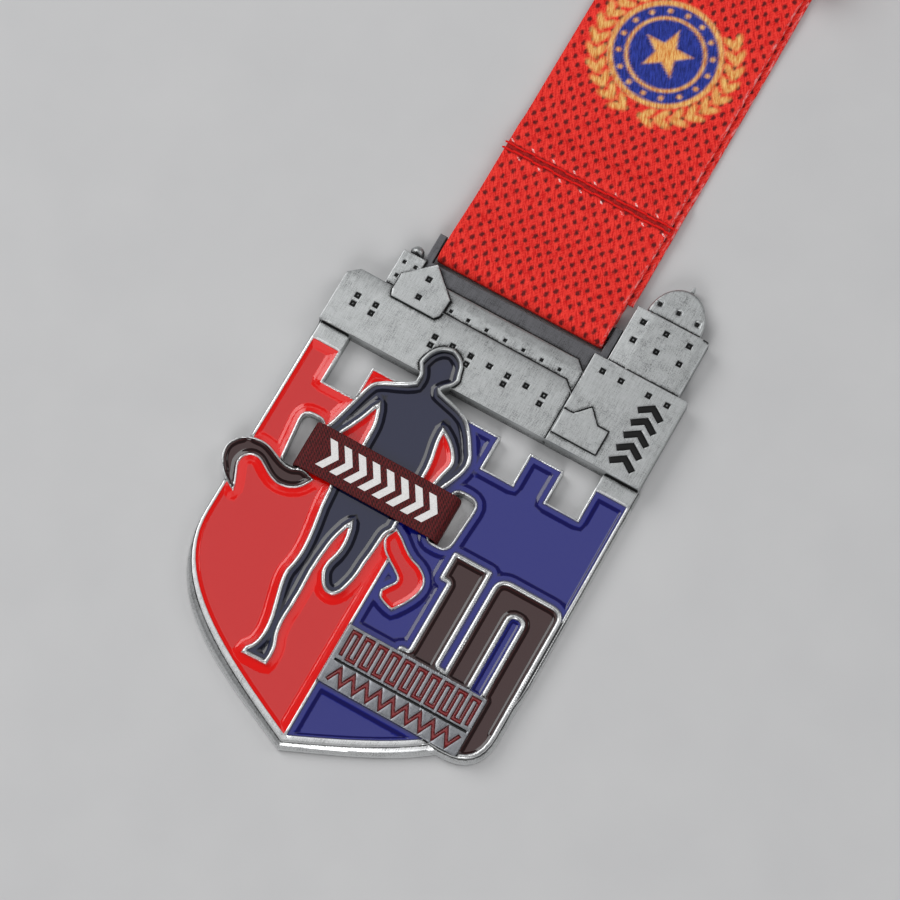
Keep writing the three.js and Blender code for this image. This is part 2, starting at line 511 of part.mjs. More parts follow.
function place(name, body, material) {
  const { vertProperties, triVerts } = body.getMesh();
  const geometry = new THREE.BufferGeometry();
  geometry.setAttribute('position', new THREE.BufferAttribute(vertProperties, 3));
  geometry.setIndex(new THREE.BufferAttribute(triVerts, 1));
  geometry.computeVertexNormals();
  const mesh = new THREE.Mesh(geometry, material);
  mesh.name = name;
  medal.add(mesh);
}

place('medal_casting', casting, SILVER);
place('enamel_red_upper', cellAt(-33, 25), RED);
place('enamel_red_lower', cellAt(-25, -10), RED);
place('enamel_red_merlon', cellAt(-20.9, 36.2), RED);
place('enamel_red_arm_left', filled(armGapSolids[0], FIELD_FLOOR, FIELD_FILL), RED);
place('enamel_red_arm_right', filled(armGapSolids[1], FIELD_FLOOR, FIELD_FILL), RED);
place('enamel_red_hip_tail', filled(hipTailCut, HIP_TAIL_FLOOR, FIELD_FILL), RED);
place('enamel_blue_main', cellAt(20, 22), BLUE);
place('enamel_blue_foot', cellAt(6, -26), BLUE);
place('enamel_blue_zero_eye', filled(zeroEyeCut, FIELD_FLOOR, FIELD_FILL), BLUE);
place('enamel_navy_runner', filled(runnerFill, RUNNER_FLOOR, RUNNER_FILL), NAVY);
place('enamel_brown_side_tail', filled(sideTailCut, SIDE_TAIL_FLOOR, FIELD_FILL), BROWN);
place('enamel_brown_one', filled(oneFill, DIGIT_FLOOR, RUNNER_FILL), BROWN);
place('enamel_brown_zero', filled(zeroFill, DIGIT_FLOOR, RUNNER_FILL), BROWN);
rowOutlines.forEach((outline, index) => place(
  `enamel_row_${index + 1}`, slab(outline, ROW_FLOOR, ROW_FLOOR + 0.5), MARK_RED));
chevrons.forEach((outline, index) => place(
  `black_chevron_${index + 1}`, slab(outline, KEEP_TOP - CHEVRON_DEPTH, KEEP_TOP - 0.05), BLACK));
place('sash_ribbon', alongY(sashOuter, SASH.low, SASH.high, [sashInner]), SASH_CLOTH);
place('neck_ribbon', neckRibbon, NECK_CLOTH);
place('seam_row_lower', stitchRow(SEAM.y - SEAM.spread), NECK_CLOTH);
place('seam_row_upper', stitchRow(SEAM.y + SEAM.spread), NECK_CLOTH);
place('storage_tie', alongY(tieOuter, TIE.middle - TIE.width / 2, TIE.middle + TIE.width / 2, [tieInner]),
  TIE_BLACK);

export default medal;
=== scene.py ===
# A shield-shaped finisher medal on its neck ribbon: the visual model, in Blender.
# Shapes are written in millimetres in the CAD's own frame, and every mesh is made in metres.
import math
from functools import partialmethod

import bpy
import numpy as np
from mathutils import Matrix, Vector
from mathutils.geometry import delaunay_2d_cdt


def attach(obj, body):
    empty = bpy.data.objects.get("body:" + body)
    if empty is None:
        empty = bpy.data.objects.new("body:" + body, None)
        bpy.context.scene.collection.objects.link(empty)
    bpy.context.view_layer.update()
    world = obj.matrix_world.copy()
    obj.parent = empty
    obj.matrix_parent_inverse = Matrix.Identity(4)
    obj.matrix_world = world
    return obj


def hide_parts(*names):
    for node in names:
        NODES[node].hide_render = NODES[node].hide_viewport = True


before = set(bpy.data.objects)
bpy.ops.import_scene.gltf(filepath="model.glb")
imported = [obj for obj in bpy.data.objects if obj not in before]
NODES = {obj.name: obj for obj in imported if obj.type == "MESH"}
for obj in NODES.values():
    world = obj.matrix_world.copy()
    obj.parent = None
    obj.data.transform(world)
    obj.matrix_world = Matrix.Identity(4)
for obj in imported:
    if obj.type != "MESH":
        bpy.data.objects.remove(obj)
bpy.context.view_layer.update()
MM = 0.001
TAU = 2 * math.pi

# ---- heights in Z, as in the CAD
ROW_TOP = 3.6
RUNNER_TOP = 3.6
HEAD_TOP = 5.0
WALL_TOP = 4.4
RANGE_TOP = 3.9
FLANGE_TOP = 1.5
DOME_TOP = 4.1
KEEP_TOP = 4.8
SILL_TOP = 1.2
POST_TOP = 3.2
# ---- places in Y, as in the CAD
NECK_START = 35.0
HEAD_STEP = 39.6
LEDGE_LINE = 37.4
CASTLE_FOOT = 40.8
HANGER_FOOT = 50.0

FLAT = 0.9999  # a flat surface's normal has more of Z than this
FACING = 0.15  # a surface with less of Z than this is a wall


# ---- regions of a CAD node
def mesh_values(items, key, width, kind=float):
    """A value of each of a mesh's points or triangles, as an array with a row for each."""
    found = np.empty(len(items) * width, kind)
    items.foreach_get(key, found)
    return found.reshape(-1, width)


def node_triangles(name):
    """A CAD node's welded corner points in millimetres, and its triangles."""
    mesh = NODES[name].data
    mesh.calc_loop_triangles()
    points = np.round(mesh_values(mesh.vertices, "co", 3) / MM, 3)
    spots, index = np.unique(points, axis=0, return_inverse=True)
    return spots, index.reshape(-1)[mesh_values(mesh.loop_triangles, "vertices", 3, np.int64)]


class Region:
    """One surface of a relief, seen from above or below: its edges in X and Y, and its height."""

    def __init__(self, key):
        self.key = key
        self.falling = []  # edges beyond which there is less material
        self.rising = []  # edges beyond which there is more
        self.folds = []  # edges shared with a surface at the same height
        self.level = None  # height as a function of points
        self.radius = 0.2  # rounding of the falling edges
        self.look = 0  # which of the piece's materials it wears
        self.shade = None  # how deep the patina and the painted shade are, as a function of points

    def pack(self):
        """Turns the lists of edges into arrays, and finds the box round them."""
        for label in ("falling", "rising", "folds"):
            setattr(self, label, np.array(getattr(self, label), float).reshape(-1, 4))
        self.edges = np.vstack([self.falling, self.rising, self.folds])
        ends = self.edges.reshape(-1, 2)
        self.low, self.high = ends.min(0), ends.max(0)


def gap(points, edges):
    """Each point's distance to the nearest of the edges."""
    best = np.full(len(points), 1e3)
    for x0, y0, x1, y1 in edges:
        dx, dy = x1 - x0, y1 - y0
        px, py = points[:, 0] - x0, points[:, 1] - y0
        along = np.clip((px * dx + py * dy) / max(dx * dx + dy * dy, 1e-12), 0, 1)
        best = np.minimum(best, np.hypot(px - along * dx, py - along * dy))
    return best


def fading(points, edges, reach):
    """1 at the nearest of the edges, and less with distance."""
    return np.exp(-gap(points, edges) / reach)


def inside(points, region):
    """Which points lie inside a region, by the even-odd rule."""
    found = np.zeros(len(points), bool)
    boxed = np.all((points > region.low) & (points < region.high), axis=1)
    if not boxed.any():
        return found
    x, y = points[boxed, 0][:, None], points[boxed, 1][:, None]
    x0, y0, x1, y1 = (region.edges[:, i][None, :] for i in range(4))
    with np.errstate(divide="ignore", invalid="ignore"):
        crosses = ((y0 > y) != (y1 > y)) & (x < (x1 - x0) * (y - y0) / (y1 - y0) + x0)
    found[boxed] = crosses.sum(1) % 2 == 1
    return found


def edges_of(triangle):
    i, j, k = triangle
    return (i, j), (j, k), (k, i)


def plane_height(middle, normal):
    """The height of a triangle's plane, as a function of points."""
    if abs(normal[2]) > FLAT:
        return lambda p: np.full(len(p), middle[2])
    return lambda p: middle[2] - (
        (p[:, 0] - middle[0]) * normal[0] + (p[:, 1] - middle[1]) * normal[1]
    ) / normal[2]


def regions_of(name, side, zone_of):
    """The surfaces of a node that face up (side 1) or down (side -1), grouped by zone."""
    spots, triangles = node_triangles(name)
    a, b, c = (spots[triangles[:, i]] for i in range(3))
    normal = np.cross(b - a, c - a)
    size = np.linalg.norm(normal, axis=1)
    normal /= np.maximum(size, 1e-12)[:, None]
    middle = (a + b + c) / 3
    keys = {
        f: zone_of(middle[f].tolist(), normal[f].tolist())
        for f in range(len(triangles))
        if size[f] > 1e-7 and normal[f, 2] * side > FACING
    }
    owner = {edge: f for f, triangle in enumerate(triangles) for edge in edges_of(triangle)}
    regions = {}
    for f, key in keys.items():
        region = regions.setdefault(key, Region(key))
        if region.level is None:
            region.level = plane_height(middle[f], normal[f])
        for start, end in edges_of(triangles[f]):
            other = owner.get((end, start))
            if keys.get(other) == key:
                continue
            edge = (*spots[start][:2], *spots[end][:2])
            if math.hypot(edge[2] - edge[0], edge[3] - edge[1]) < 1e-6:
                continue
            if side < 0:
                edge = (*edge[2:], *edge[:2])
            if other in keys:
                region.folds.append(edge)
                continue
            third = next(v for v in triangles[other] if v not in (start, end))
            falls = (spots[third][2] - spots[start][2]) * side < 0
            (region.falling if falls else region.rising).append(edge)
    for region in regions.values():
        region.pack()
    return regions


# ---- relief meshes
STEP = 0.6  # the longest piece of an edge
UNDERSIDE = (0.3, 0.0)  # the values of both masks for every surface that faces down: patina with painted shade, and rubbed edges with painted highlight
PATINA_AND_WALL_SHADOW = {"depth": 1.5, "reach": 0.25}  # how deep the patina and painted shadow are at the foot of a wall, and how far they spread
# How far the rubbed edge and its painted highlight reach in from a falling edge.
WEAR_AND_HIGHLIGHT_REACH = 0.3
HEIGHT_STEPS = 2000  # corners of a piece closer than a millimetre over this are one point


def cut_up(edges):
    """The edges in pieces no longer than a step."""
    pieces = []
    for x0, y0, x1, y1 in edges:
        count = max(1, math.ceil(math.hypot(x1 - x0, y1 - y0) / STEP))
        t = np.linspace(0, 1, count + 1)
        xs, ys = x0 + (x1 - x0) * t, y0 + (y1 - y0) * t
        pieces += list(zip(xs[:-1], ys[:-1], xs[1:], ys[1:]))
    return np.array(pieces).reshape(-1, 4)


def ring_points(region, distances, edges):
    """Points inside a region at set distances from some of its edges."""
    if not len(edges) or not len(distances):
        return np.empty((0, 2))
    pieces = cut_up(edges)
    run = pieces[:, 2:] - pieces[:, :2]
    left = np.stack([-run[:, 1], run[:, 0]], 1) / np.hypot(*run.T)[:, None]
    spots, index = np.unique(np.round(pieces.reshape(-1, 2), 3), axis=0, return_inverse=True)
    index = index.reshape(-1)
    total, first = np.zeros_like(spots), np.zeros_like(spots)
    for ends in (index[0::2], index[1::2]):
        np.add.at(total, ends, left)
        first[ends] = left
    length = np.hypot(*total.T)
    good = length > 0.3
    direction = total[good] / length[good][:, None]
    cosine = np.clip((direction * first[good]).sum(1), 0.5, 1)
    hard = np.vstack([region.falling, region.rising])
    rings = []
    for distance in distances:
        moved = spots[good] + direction * (distance / cosine)[:, None]
        moved = moved[inside(moved, region)]
        rings.append(moved[gap(moved, hard) > 0.94 * distance])
    return np.vstack(rings)


def rounded_height(region, points, side):
    """A region's height at some points, with its falling edges rounded over."""
    height = region.level(points)
    r = region.radius
    if len(region.falling) and r:
        d = np.minimum(gap(points, region.falling), r)
        height = height - side * (r - np.sqrt(np.maximum(r * r - (r - d) ** 2, 0)))
    return height


def flat_mesh(tops, bottoms, extra, ring):
    """Triangles in X and Y that follow every edge, with rings of points inside the regions."""
    lines = [cut_up(region.edges) for region in (*tops, *bottoms)]
    lines.append(cut_up(np.array(extra, float).reshape(-1, 4)))
    lines = np.round(np.vstack(lines), 3)
    loose = []
    for region in tops:
        falling, rising = ring(region)
        loose.append(ring_points(region, falling, region.falling))
        loose.append(ring_points(region, rising, region.rising))
    for region in bottoms:
        loose.append(ring_points(region, (0.35 * region.radius, region.radius), region.falling))
    loose = np.unique(np.round(np.vstack(loose) / 0.01), axis=0) * 0.01
    spots, index = np.unique(lines.reshape(-1, 2), axis=0, return_inverse=True)
    edges = np.unique(np.sort(index.reshape(-1, 2), axis=1), axis=0)
    edges = edges[edges[:, 0] != edges[:, 1]]
    corners = [Vector(p) for p in np.vstack([spots, loose])]
    made = delaunay_2d_cdt(corners, [tuple(e) for e in edges.tolist()], [], 0, 1e-5)
    flat = np.array([(v.x, v.y) for v in made[0]])
    faces = np.array([f for f in made[2] if len(f) == 3], np.int64)
    a, b, c = (flat[faces[:, i]] for i in range(3))
    turn = (b[:, 0] - a[:, 0]) * (c[:, 1] - a[:, 1]) - (b[:, 1] - a[:, 1]) * (c[:, 0] - a[:, 0])
    faces[turn < 0] = faces[turn < 0][:, ::-1]
    return flat, faces[np.abs(turn) > 1e-9]


def owners(middle, regions):
    """The number of the region that each triangle's middle lies in, or -1."""
    found = np.full(len(middle), -1)
    for number, region in enumerate(regions):
        found[inside(middle, region)] = number
    return found


# Darker towards the foot of a wall: patina, and a painted shadow there.
def patina_and_wall_shadow(points, region, depth, reach):
    return depth * fading(points, region.rising, reach)


def surface_values(flat, faces, owner, regions, side):
    """Height, patina with painted shade, and rubbed edges with painted highlight, for every point of every
    region, by point and region number.
    """
    values = {}
    for number, region in enumerate(regions):
        used = np.unique(faces[owner == number])
        p = flat[used]
        height = rounded_height(region, p, side)
        # The masks: the region's own shade where it has one, otherwise patina with a painted shadow at the
        # foot of walls; and rubbed edges with a painted highlight.
        patina_shade, wear_highlight = (np.full(len(p), mask) for mask in UNDERSIDE)
        if side > 0:
            patina_shade = region.shade(p) if region.shade else patina_and_wall_shadow(p, region, **PATINA_AND_WALL_SHADOW)
            wear_highlight = fading(p, region.falling, WEAR_AND_HIGHLIGHT_REACH)
        for row in zip(used.tolist(), height, patina_shade, wear_highlight):
            values[(row[0], number)] = row[1:]
    return values


def relief(name, tops, bottoms, ring, extra=()):
    """A closed mesh between top regions and bottom regions. extra holds more fold edges to keep."""
    tops, bottoms = list(tops.values()), list(bottoms.values())
    flat, faces = flat_mesh(tops, bottoms, extra, ring)
    middle = flat[faces].mean(1)
    top, bottom = owners(middle, tops), owners(middle, bottoms)
    solid = (top >= 0) & (bottom >= 0)
    faces, top, bottom = faces[solid], top[solid], bottom[solid]
    upper = surface_values(flat, faces, top, tops, 1)
    lower = surface_values(flat, faces, bottom, bottoms, -1)
    points, made_faces, looks, masks, at = [], [], [], [], {}

    def point(v, number, values):
        z, patina_shade, wear_highlight = values[(v, number)]
        key = (v, round(z * HEIGHT_STEPS))
        if key not in at:
            at[key] = len(points)
            points.append((*flat[v], z))
            masks.append((patina_shade, wear_highlight))
        return at[key]

    def add(corners, look):
        corners = [point(*corner) for corner in corners]
        kept = [p for i, p in enumerate(corners) if p != corners[i - 1]]
        if len(set(kept)) == len(kept) and len(kept) > 2:
            made_faces.append(kept)
            looks.append(look)

    def add_wall(start, end, first, second, look):
        """A wall along an edge, between two surfaces given by region number and values."""
        add([(start, *first), (end, *first), (end, *second), (start, *second)], look)

    faces = faces.tolist()
    across = {edge: f for f, triangle in enumerate(faces) for edge in edges_of(triangle)}
    for f, corners in enumerate(faces):
        t, u = top[f], bottom[f]
        look = tops[t].look
        add([(v, t, upper) for v in corners], look)
        add([(v, u, lower) for v in reversed(corners)], look)
        for start, end in edges_of(corners):
            other = across.get((end, start))
            if other is None:
                add_wall(start, end, (u, lower), (t, upper), look)
                continue
            if other < f:
                continue
            if top[other] != t:
                rises = upper[(start, top[other])][0] > upper[(start, t)][0]
                wall_look = tops[top[other]].look if rises else look
                add_wall(start, end, (top[other], upper), (t, upper), wall_look)
            if bottom[other] != u:
                add_wall(start, end, (u, lower), (bottom[other], lower), look)
    return finish_mesh(name, points, made_faces, looks, masks)


def finish_mesh(name, points, faces, looks=None, masks=None, sharp=math.radians(34)):
    """A smooth-shaded object with sharp creases, from points in millimetres."""
    mesh = bpy.data.meshes.new(name)
    mesh.from_pydata([tuple(float(c) * MM for c in p) for p in points], [], faces)
    if looks is not None:
        mesh.polygons.foreach_set("material_index", looks)
    if masks is not None:
        for column, label in enumerate(("patina_and_shade", "wear_and_highlight")):
            layer = mesh.attributes.new(label, "FLOAT", "POINT")
            layer.data.foreach_set("value", [float(m[column]) for m in masks])
    mesh.polygons.foreach_set("use_smooth", [True] * len(mesh.polygons))
    mesh.validate()
    mesh.set_sharp_from_angle(angle=sharp)
    made = bpy.data.objects.new(name, mesh)
    bpy.context.scene.collection.objects.link(made)
    return made


def level_shading(made):
    """Keeps broad flat faces flat up to their rounded edges."""
    weighted = made.modifiers.new("flat faces", "WEIGHTED_NORMAL")
    weighted.mode = "FACE_AREA"
    weighted.weight = 60
    weighted.keep_sharp = True


# ---- materials
class Shader:
    """A node material under construction, with short calls for the nodes it uses."""

    def __init__(self, name, **settings):
        self.material = bpy.data.materials.new(name)
        self.material.use_nodes = True
        self.tree = self.material.node_tree
        self.bsdf = self.tree.nodes["Principled BSDF"]
        for key, value in settings.items():
            self.bsdf.inputs[key.replace("_", " ")].default_value = value

    def node(self, kind, inputs=None, **settings):
        made = self.tree.nodes.new("ShaderNode" + kind)
        for key, value in settings.items():
            setattr(made, key, value)
        for key, value in (inputs or {}).items():
            self.plug(made.inputs[key], value)
        return made

    def plug(self, socket, value):
        if isinstance(value, bpy.types.NodeSocket):
            self.tree.links.new(value, socket)
        else:
            socket.default_value = value

    def finish(self, colour, roughness=None, normal=None):
        """The material, with these for its colour, roughness and bumps."""
        for key, value in (("Base Color", colour), ("Roughness", roughness), ("Normal", normal)):
            if value is not None:
                self.plug(self.bsdf.inputs[key], value)
        return self.material

    def math(self, operation, *values, clamp=False):
        made = self.node("Math", dict(enumerate(values)), operation=operation)
        made.use_clamp = clamp
        return made.outputs[0]

    add = partialmethod(math, "ADD")
    sub = partialmethod(math, "SUBTRACT")
    mul = partialmethod(math, "MULTIPLY")
    div = partialmethod(math, "DIVIDE")
    madd = partialmethod(math, "MULTIPLY_ADD")
    absolute = partialmethod(math, "ABSOLUTE")

    def wave(self, value, length):
        """A sine of a length on the object."""
        return self.math("SINE", self.mul(value, TAU / length))

    def ramp(self, value, low, high):
        """0 below low and 1 above high, with a smooth rise between. high may be below low."""
        inputs = {"Value": value, 1: low, 2: high, 3: 0.0, 4: 1.0}
        return self.node("MapRange", inputs, interpolation_type="SMOOTHSTEP").outputs[0]

    def mix(self, share, *colours):
        """A blend of two colours, each a socket or three numbers."""
        first, second = (c if isinstance(c, bpy.types.NodeSocket) else (*c, 1) for c in colours)
        return self.node("Mix", {0: share, 6: first, 7: second}, data_type="RGBA").outputs[2]

    def place(self, scale=(1, 1, 1)):
        """The point on the object in millimetres, stretched by a scale."""
        spot = self.node("TexCoord").outputs["Object"]
        return self.node("Mapping", {"Vector": spot, "Scale": [s / MM for s in scale]}).outputs[0]

    def mask(self, name):
        return self.node("Attribute", attribute_name=name).outputs["Fac"]

    def run(self):
        """The place on a strap: how far across it, and how far along."""
        spot = self.node("Attribute", attribute_name="run").outputs["Vector"]
        return self.node("SeparateXYZ", {0: spot}).outputs[:2]

    def noise(self, vector, scale, detail=2.0, rough=0.5):
        inputs = {"Vector": vector, "Scale": scale, "Detail": detail, "Roughness": rough}
        return self.node("TexNoise", inputs).outputs[0]

    def bump(self, height, strength, distance, normal=None):
        inputs = {"Height": height, "Strength": strength, "Distance": distance * MM}
        if normal is not None:
            inputs["Normal"] = normal
        return self.node("Bump", inputs).outputs[0]


def scaled(colour, factor):
    return tuple(min(1, c * factor) for c in colour)


def antique_silver(name, bright, dark, scratch, roughness, grit=0.35):
    """Plated zinc with dark patina left in the recesses and painted shade at the foot of walls, and rubbed
    edges made brighter by a painted highlight.
    """
    s = Shader(name, Metallic=1.0)
    cloud = s.noise(s.place(), 0.3, 3.0)
    grain = s.noise(s.place(), 5.0, 4.0, 0.65)
    upright = s.noise(s.place((7.0, 0.5, 2.0)), 1.0, 3.0, 0.6)
    level = s.noise(s.place((0.6, 9.0, 2.0)), 1.0, 2.0)
    stroke = s.madd(level, 0.35, s.mul(upright, 0.65))
    # Rubbed edges take a brighter colour: partly rubbing, partly a painted highlight.
    wear_highlight = s.mul(s.ramp(s.mask("wear_and_highlight"), 0.45, 0.95), 0.6)
    # Patina from the mask, which also holds painted shade at the foot of walls.
    patina = s.madd(cloud, 0.9, s.mul(s.mask("patina_and_shade"), 1.5))
    patina = s.madd(s.sub(grain, 0.5), 2.0, patina)
    patina = s.madd(s.sub(stroke, 0.5), -1.5, patina)
    patina = s.mul(s.ramp(patina, 0.35, 1.45), s.madd(wear_highlight, -1.5, 1.0))
    light = s.mix(s.ramp(stroke, 0.36, 0.64), scaled(bright, 0.82), bright)
    colour = s.mix(wear_highlight, s.mix(patina, light, dark), scaled(bright, 1.3))
    rough = s.madd(patina, 0.15, s.madd(stroke, 0.2, roughness - 0.1))
    rough = s.madd(wear_highlight, 0.1, rough, clamp=True)
    grit = s.madd(wear_highlight, -1.5 * grit, grit)
    bumps = s.bump(grain, grit, 0.02, s.bump(stroke, scratch, 0.03))
    return s.finish(colour, rough, bumps)


def enamel(name, colour, edge, roughness=0.09, gloss=0.5):
    """Fired colour: glossy and faintly wavy, with its edge colour painted as shade where it falls from its
    rim and along its walls.
    """
    s = Shader(name, IOR=1.52, Metallic=0.0, Roughness=roughness, Specular_IOR_Level=gloss)
    cloud = s.noise(s.place(), 0.25, 2.0)
    tone = s.madd(cloud, 0.25, s.mask("patina_and_shade"))
    specks = s.noise(s.place(), 6.0, 2.0)
    colour = s.mix(s.ramp(tone, 0.2, 1.0), colour, edge)
    return s.finish(colour, normal=s.bump(specks, 0.05, 0.01, s.bump(cloud, 0.35, 0.12)))


SILVER = antique_silver("silver_shield", (0.72, 0.73, 0.73), (0.04, 0.04, 0.04), 0.15, 0.34, 0.08)
CASTLE = antique_silver("silver_castle", (0.50, 0.515, 0.515), (0.025, 0.025, 0.025), 1.2, 0.42, 0.7)
HANGER = antique_silver("silver_hanger", (0.15, 0.15, 0.16), (0.03, 0.03, 0.03), 0.2, 0.5)
ROW_PAD = antique_silver("silver_row_pad", (0.30, 0.31, 0.33), (0.03, 0.03, 0.04), 0.4, 0.4)
CASTING_MATERIALS = (SILVER, CASTLE, HANGER, ROW_PAD)
SHIELD_LOOK, CASTLE_LOOK, HANGER_LOOK, PAD_LOOK = range(4)
# The second colour of each enamel is painted shade: laid on the fall from the rim, where the slope reflects
# no light, and in a line along the walls.
RED = enamel("enamel_red", (0.62, 0.008, 0.008), (0.80, 0.004, 0.002))
BLUE = enamel("enamel_blue", (0.006, 0.010, 0.19), (0.003, 0.002, 0.085))
NAVY = enamel("enamel_navy", (0.006, 0.009, 0.042), (0.001, 0.001, 0.008))
BROWN = enamel("enamel_brown", (0.034, 0.006, 0.006), (0.010, 0.001, 0.001))
ROW_RED = enamel("enamel_row_red", (0.22, 0.010, 0.012), (0.12, 0.004, 0.005))
BLACK = enamel("mark_black", (0.006, 0.006, 0.006), (0.003, 0.003, 0.003), 0.5, 0.2)

# ---- the casting
BALL = {"x": -26.1, "y": 62.5, "z": 2.0, "radius": 1.5}
BAR = {"y": 66.9, "z": 2.2, "half_width": 1.2, "half_height": 1.0, "left": -22.5, "right": 15.7}
DOME = {"left": 19, "foot": 73.9, "radius": 0.6, "under_radius": 0.85}
# The runner's level top lies left of and between these lines, apart from the corner of the row pad.
RUNNER_BOX = {"right": 8, "low": -25, "high": CASTLE_FOOT + 2, "pad_left": 0, "pad_high": -9}

WINDOW, SMALL_WINDOW = 1.15, 0.7
WINDOWS = [(x, y, WINDOW) for x in (-31.6, -27.5, -14.1, 2.2, 10.3) for y in (48.5, 46.6)]
WINDOWS += [(x, 48.5, WINDOW) for x in (-10.2, -6.1, -1.9, 6.3)] + [(-6.1, 46.6, WINDOW)]
WINDOWS += [(-20.9, 58.1, WINDOW), (-20.9, 53.9, WINDOW)]
WINDOWS += [(x, 58.4, WINDOW) for x in (17.9, 22.0, 28.1, 32.2)]
WINDOWS += [(x, y, WINDOW) for x in (20.0, 25.1, 30.2) for y in (71.3, 67.1)]
WINDOWS += [(x, 54.8, SMALL_WINDOW) for x in (-14.1, -10.2, -6.1, -1.9, 2.2, 6.3, 10.3)]
WINDOWS += [(-27.2, 59.3, SMALL_WINDOW), (-24.7, 59.3, SMALL_WINDOW), (-27.2, 56.1, SMALL_WINDOW)]
WINDOWS += [(21.0, 76.4, SMALL_WINDOW), (25.1, 76.5, SMALL_WINDOW), (29.4, 76.2, SMALL_WINDOW)]
# A small raised pane stands in the middle of each larger window.
PANE = {"outer": 0.28, "inner": 0.14, "rise": 0.2}


def in_window(x, y):
    return any(max(abs(x - a), abs(y - b)) < size / 2 + 0.01 for a, b, size in WINDOWS)


def window_height(level):
    """The height of a window's floor and of its pane, as a function of points."""

    def height(p):
        lift = np.zeros(len(p))
        for x, y, size in WINDOWS:
            if size < WINDOW:
                continue
            away = np.maximum(np.abs(p[:, 0] - x), np.abs(p[:, 1] - y))
            share = (PANE["outer"] - away) / (PANE["outer"] - PANE["inner"])
            lift = np.maximum(lift, np.clip(share, 0, 1))
        return level + PANE["rise"] * lift

    return height


def window_shade(height, level):
    """Patina: deep on the floor, and thin on the pane."""
    return lambda p: 1.7 - 1.3 * (height(p) - level) / PANE["rise"]


def square(x, y, half):
    """The four edges of a square."""
    corners = [(x - half, y - half), (x + half, y - half), (x + half, y + half), (x - half, y + half)]
    return [(*a, *b) for a, b in zip(corners, corners[1:] + corners[:1])]


def near(value, target):
    return abs(value - target) < 0.01


def casting_zone(middle, normal):
    """The surface that a triangle of the casting belongs to."""
    x, y, z = middle
    flat = abs(normal[2]) > FLAT
    if flat and normal[2] > 0 and z < KEEP_TOP - 0.05 and in_window(x, y):
        return f"window {z:.1f}"
    if x > DOME["left"] and y > DOME["foot"] and (not flat or near(z, DOME_TOP) or z < 0.01):
        return "dome"
    if not flat:
        if math.hypot(x - BALL["x"], y - BALL["y"]) < BALL["radius"] + 0.05:
            return "ball"
        if abs(y - BAR["y"]) < BAR["half_width"] + 0.05 and BAR["left"] < x < BAR["right"]:
            return "bar"
        return f"plane {normal[0]:.2f} {normal[1]:.2f} {normal[2]:.2f}"
    if near(z, SILL_TOP) or (near(z, POST_TOP) and y > HANGER_FOOT):
        return "hanger"
    if near(z, RUNNER_TOP) and RUNNER_BOX["low"] < y < RUNNER_BOX["high"] and x < RUNNER_BOX["right"]:
        if x <= RUNNER_BOX["pad_left"] or y >= RUNNER_BOX["pad_high"]:
            return "runner"
    if near(z, HEAD_TOP) and y < HANGER_FOOT:
        return "head"
    return round(z, 2)


def ball_height(p, side):
    away = np.hypot(p[:, 0] - BALL["x"], p[:, 1] - BALL["y"])
    return BALL["z"] + side * np.sqrt(np.maximum(BALL["radius"] ** 2 - away**2, 0))


def bar_height(p, side):
    u = (p[:, 1] - BAR["y"]) / BAR["half_width"]
    return BAR["z"] + side * BAR["half_height"] * np.sqrt(np.maximum(1 - u * u, 0))


def smooth_rise(value, low, high):
    t = np.clip((value - low) / (high - low), 0, 1)
    return t * t * (3 - 2 * t)


def neck_height(p):
    """The runner's top rises from the shoulders to the head."""
    return RUNNER_TOP + (HEAD_TOP - RUNNER_TOP) * smooth_rise(p[:, 1], NECK_START, HEAD_STEP)


def roof_height(level, start, rate):
    """Level up to a line, then sloping down."""
    return lambda p: level - rate * np.maximum(p[:, 1] - start, 0)


casting_tops, casting_bottoms = (regions_of("medal_casting", side, casting_zone) for side in (1, -1))
flange = casting_tops[FLANGE_TOP]

# Rounding of the casting's edges, by the zone or height of the surface they bound.
RADII = {3.0: 0.18, 3.1: 0.3, 3.2: 0.26, 3.4: 0.4, 3.6: 0.3, 1.5: 0.2, "runner": 0.38, "head": 0.38}
OTHER_RADIUS, PAD_RADIUS = 0.16, 0.12
for key, region in casting_tops.items():
    region.radius = RADII.get(round(key, 1) if isinstance(key, float) else key, OTHER_RADIUS)
    if region.low[1] > CASTLE_FOOT - 0.5:
        region.look = CASTLE_LOOK
    if key in ("hanger", "bar"):
        region.look = HANGER_LOOK
    if key == ROW_TOP:
        region.look, region.radius = PAD_LOOK, PAD_RADIUS
    if str(key).startswith("window"):
        window_floor = float(key.split()[1])
        region.level = window_height(window_floor)
        region.shade = window_shade(region.level, window_floor)


def split_step(region):
    """Moves the edges on the runner's neck line from walls to folds."""
    for label in ("falling", "rising"):
        edges = getattr(region, label)
        line = (np.abs(edges[:, 1] - HEAD_STEP) < 0.02) & (np.abs(edges[:, 3] - HEAD_STEP) < 0.02)
        region.folds = np.vstack([region.folds, edges[line]])
        setattr(region, label, edges[~line])


# The flange's bevel: heights at the rim, at a share of the way out, and at the outer edge.
BEVEL = {"share": 0.6, "top": 2.72, "edge": 2.25, "foot": 0.8}


def flange_height(p):
    """A gentle bevel from under the rim, then a steep side down to the outer edge."""
    inner, outer = gap(p, flange.rising), gap(p, flange.falling)
    share = inner / np.maximum(inner + outer, 1e-6)
    return np.interp(share, (0, BEVEL["share"], 1), (BEVEL["top"], BEVEL["edge"], BEVEL["foot"]))


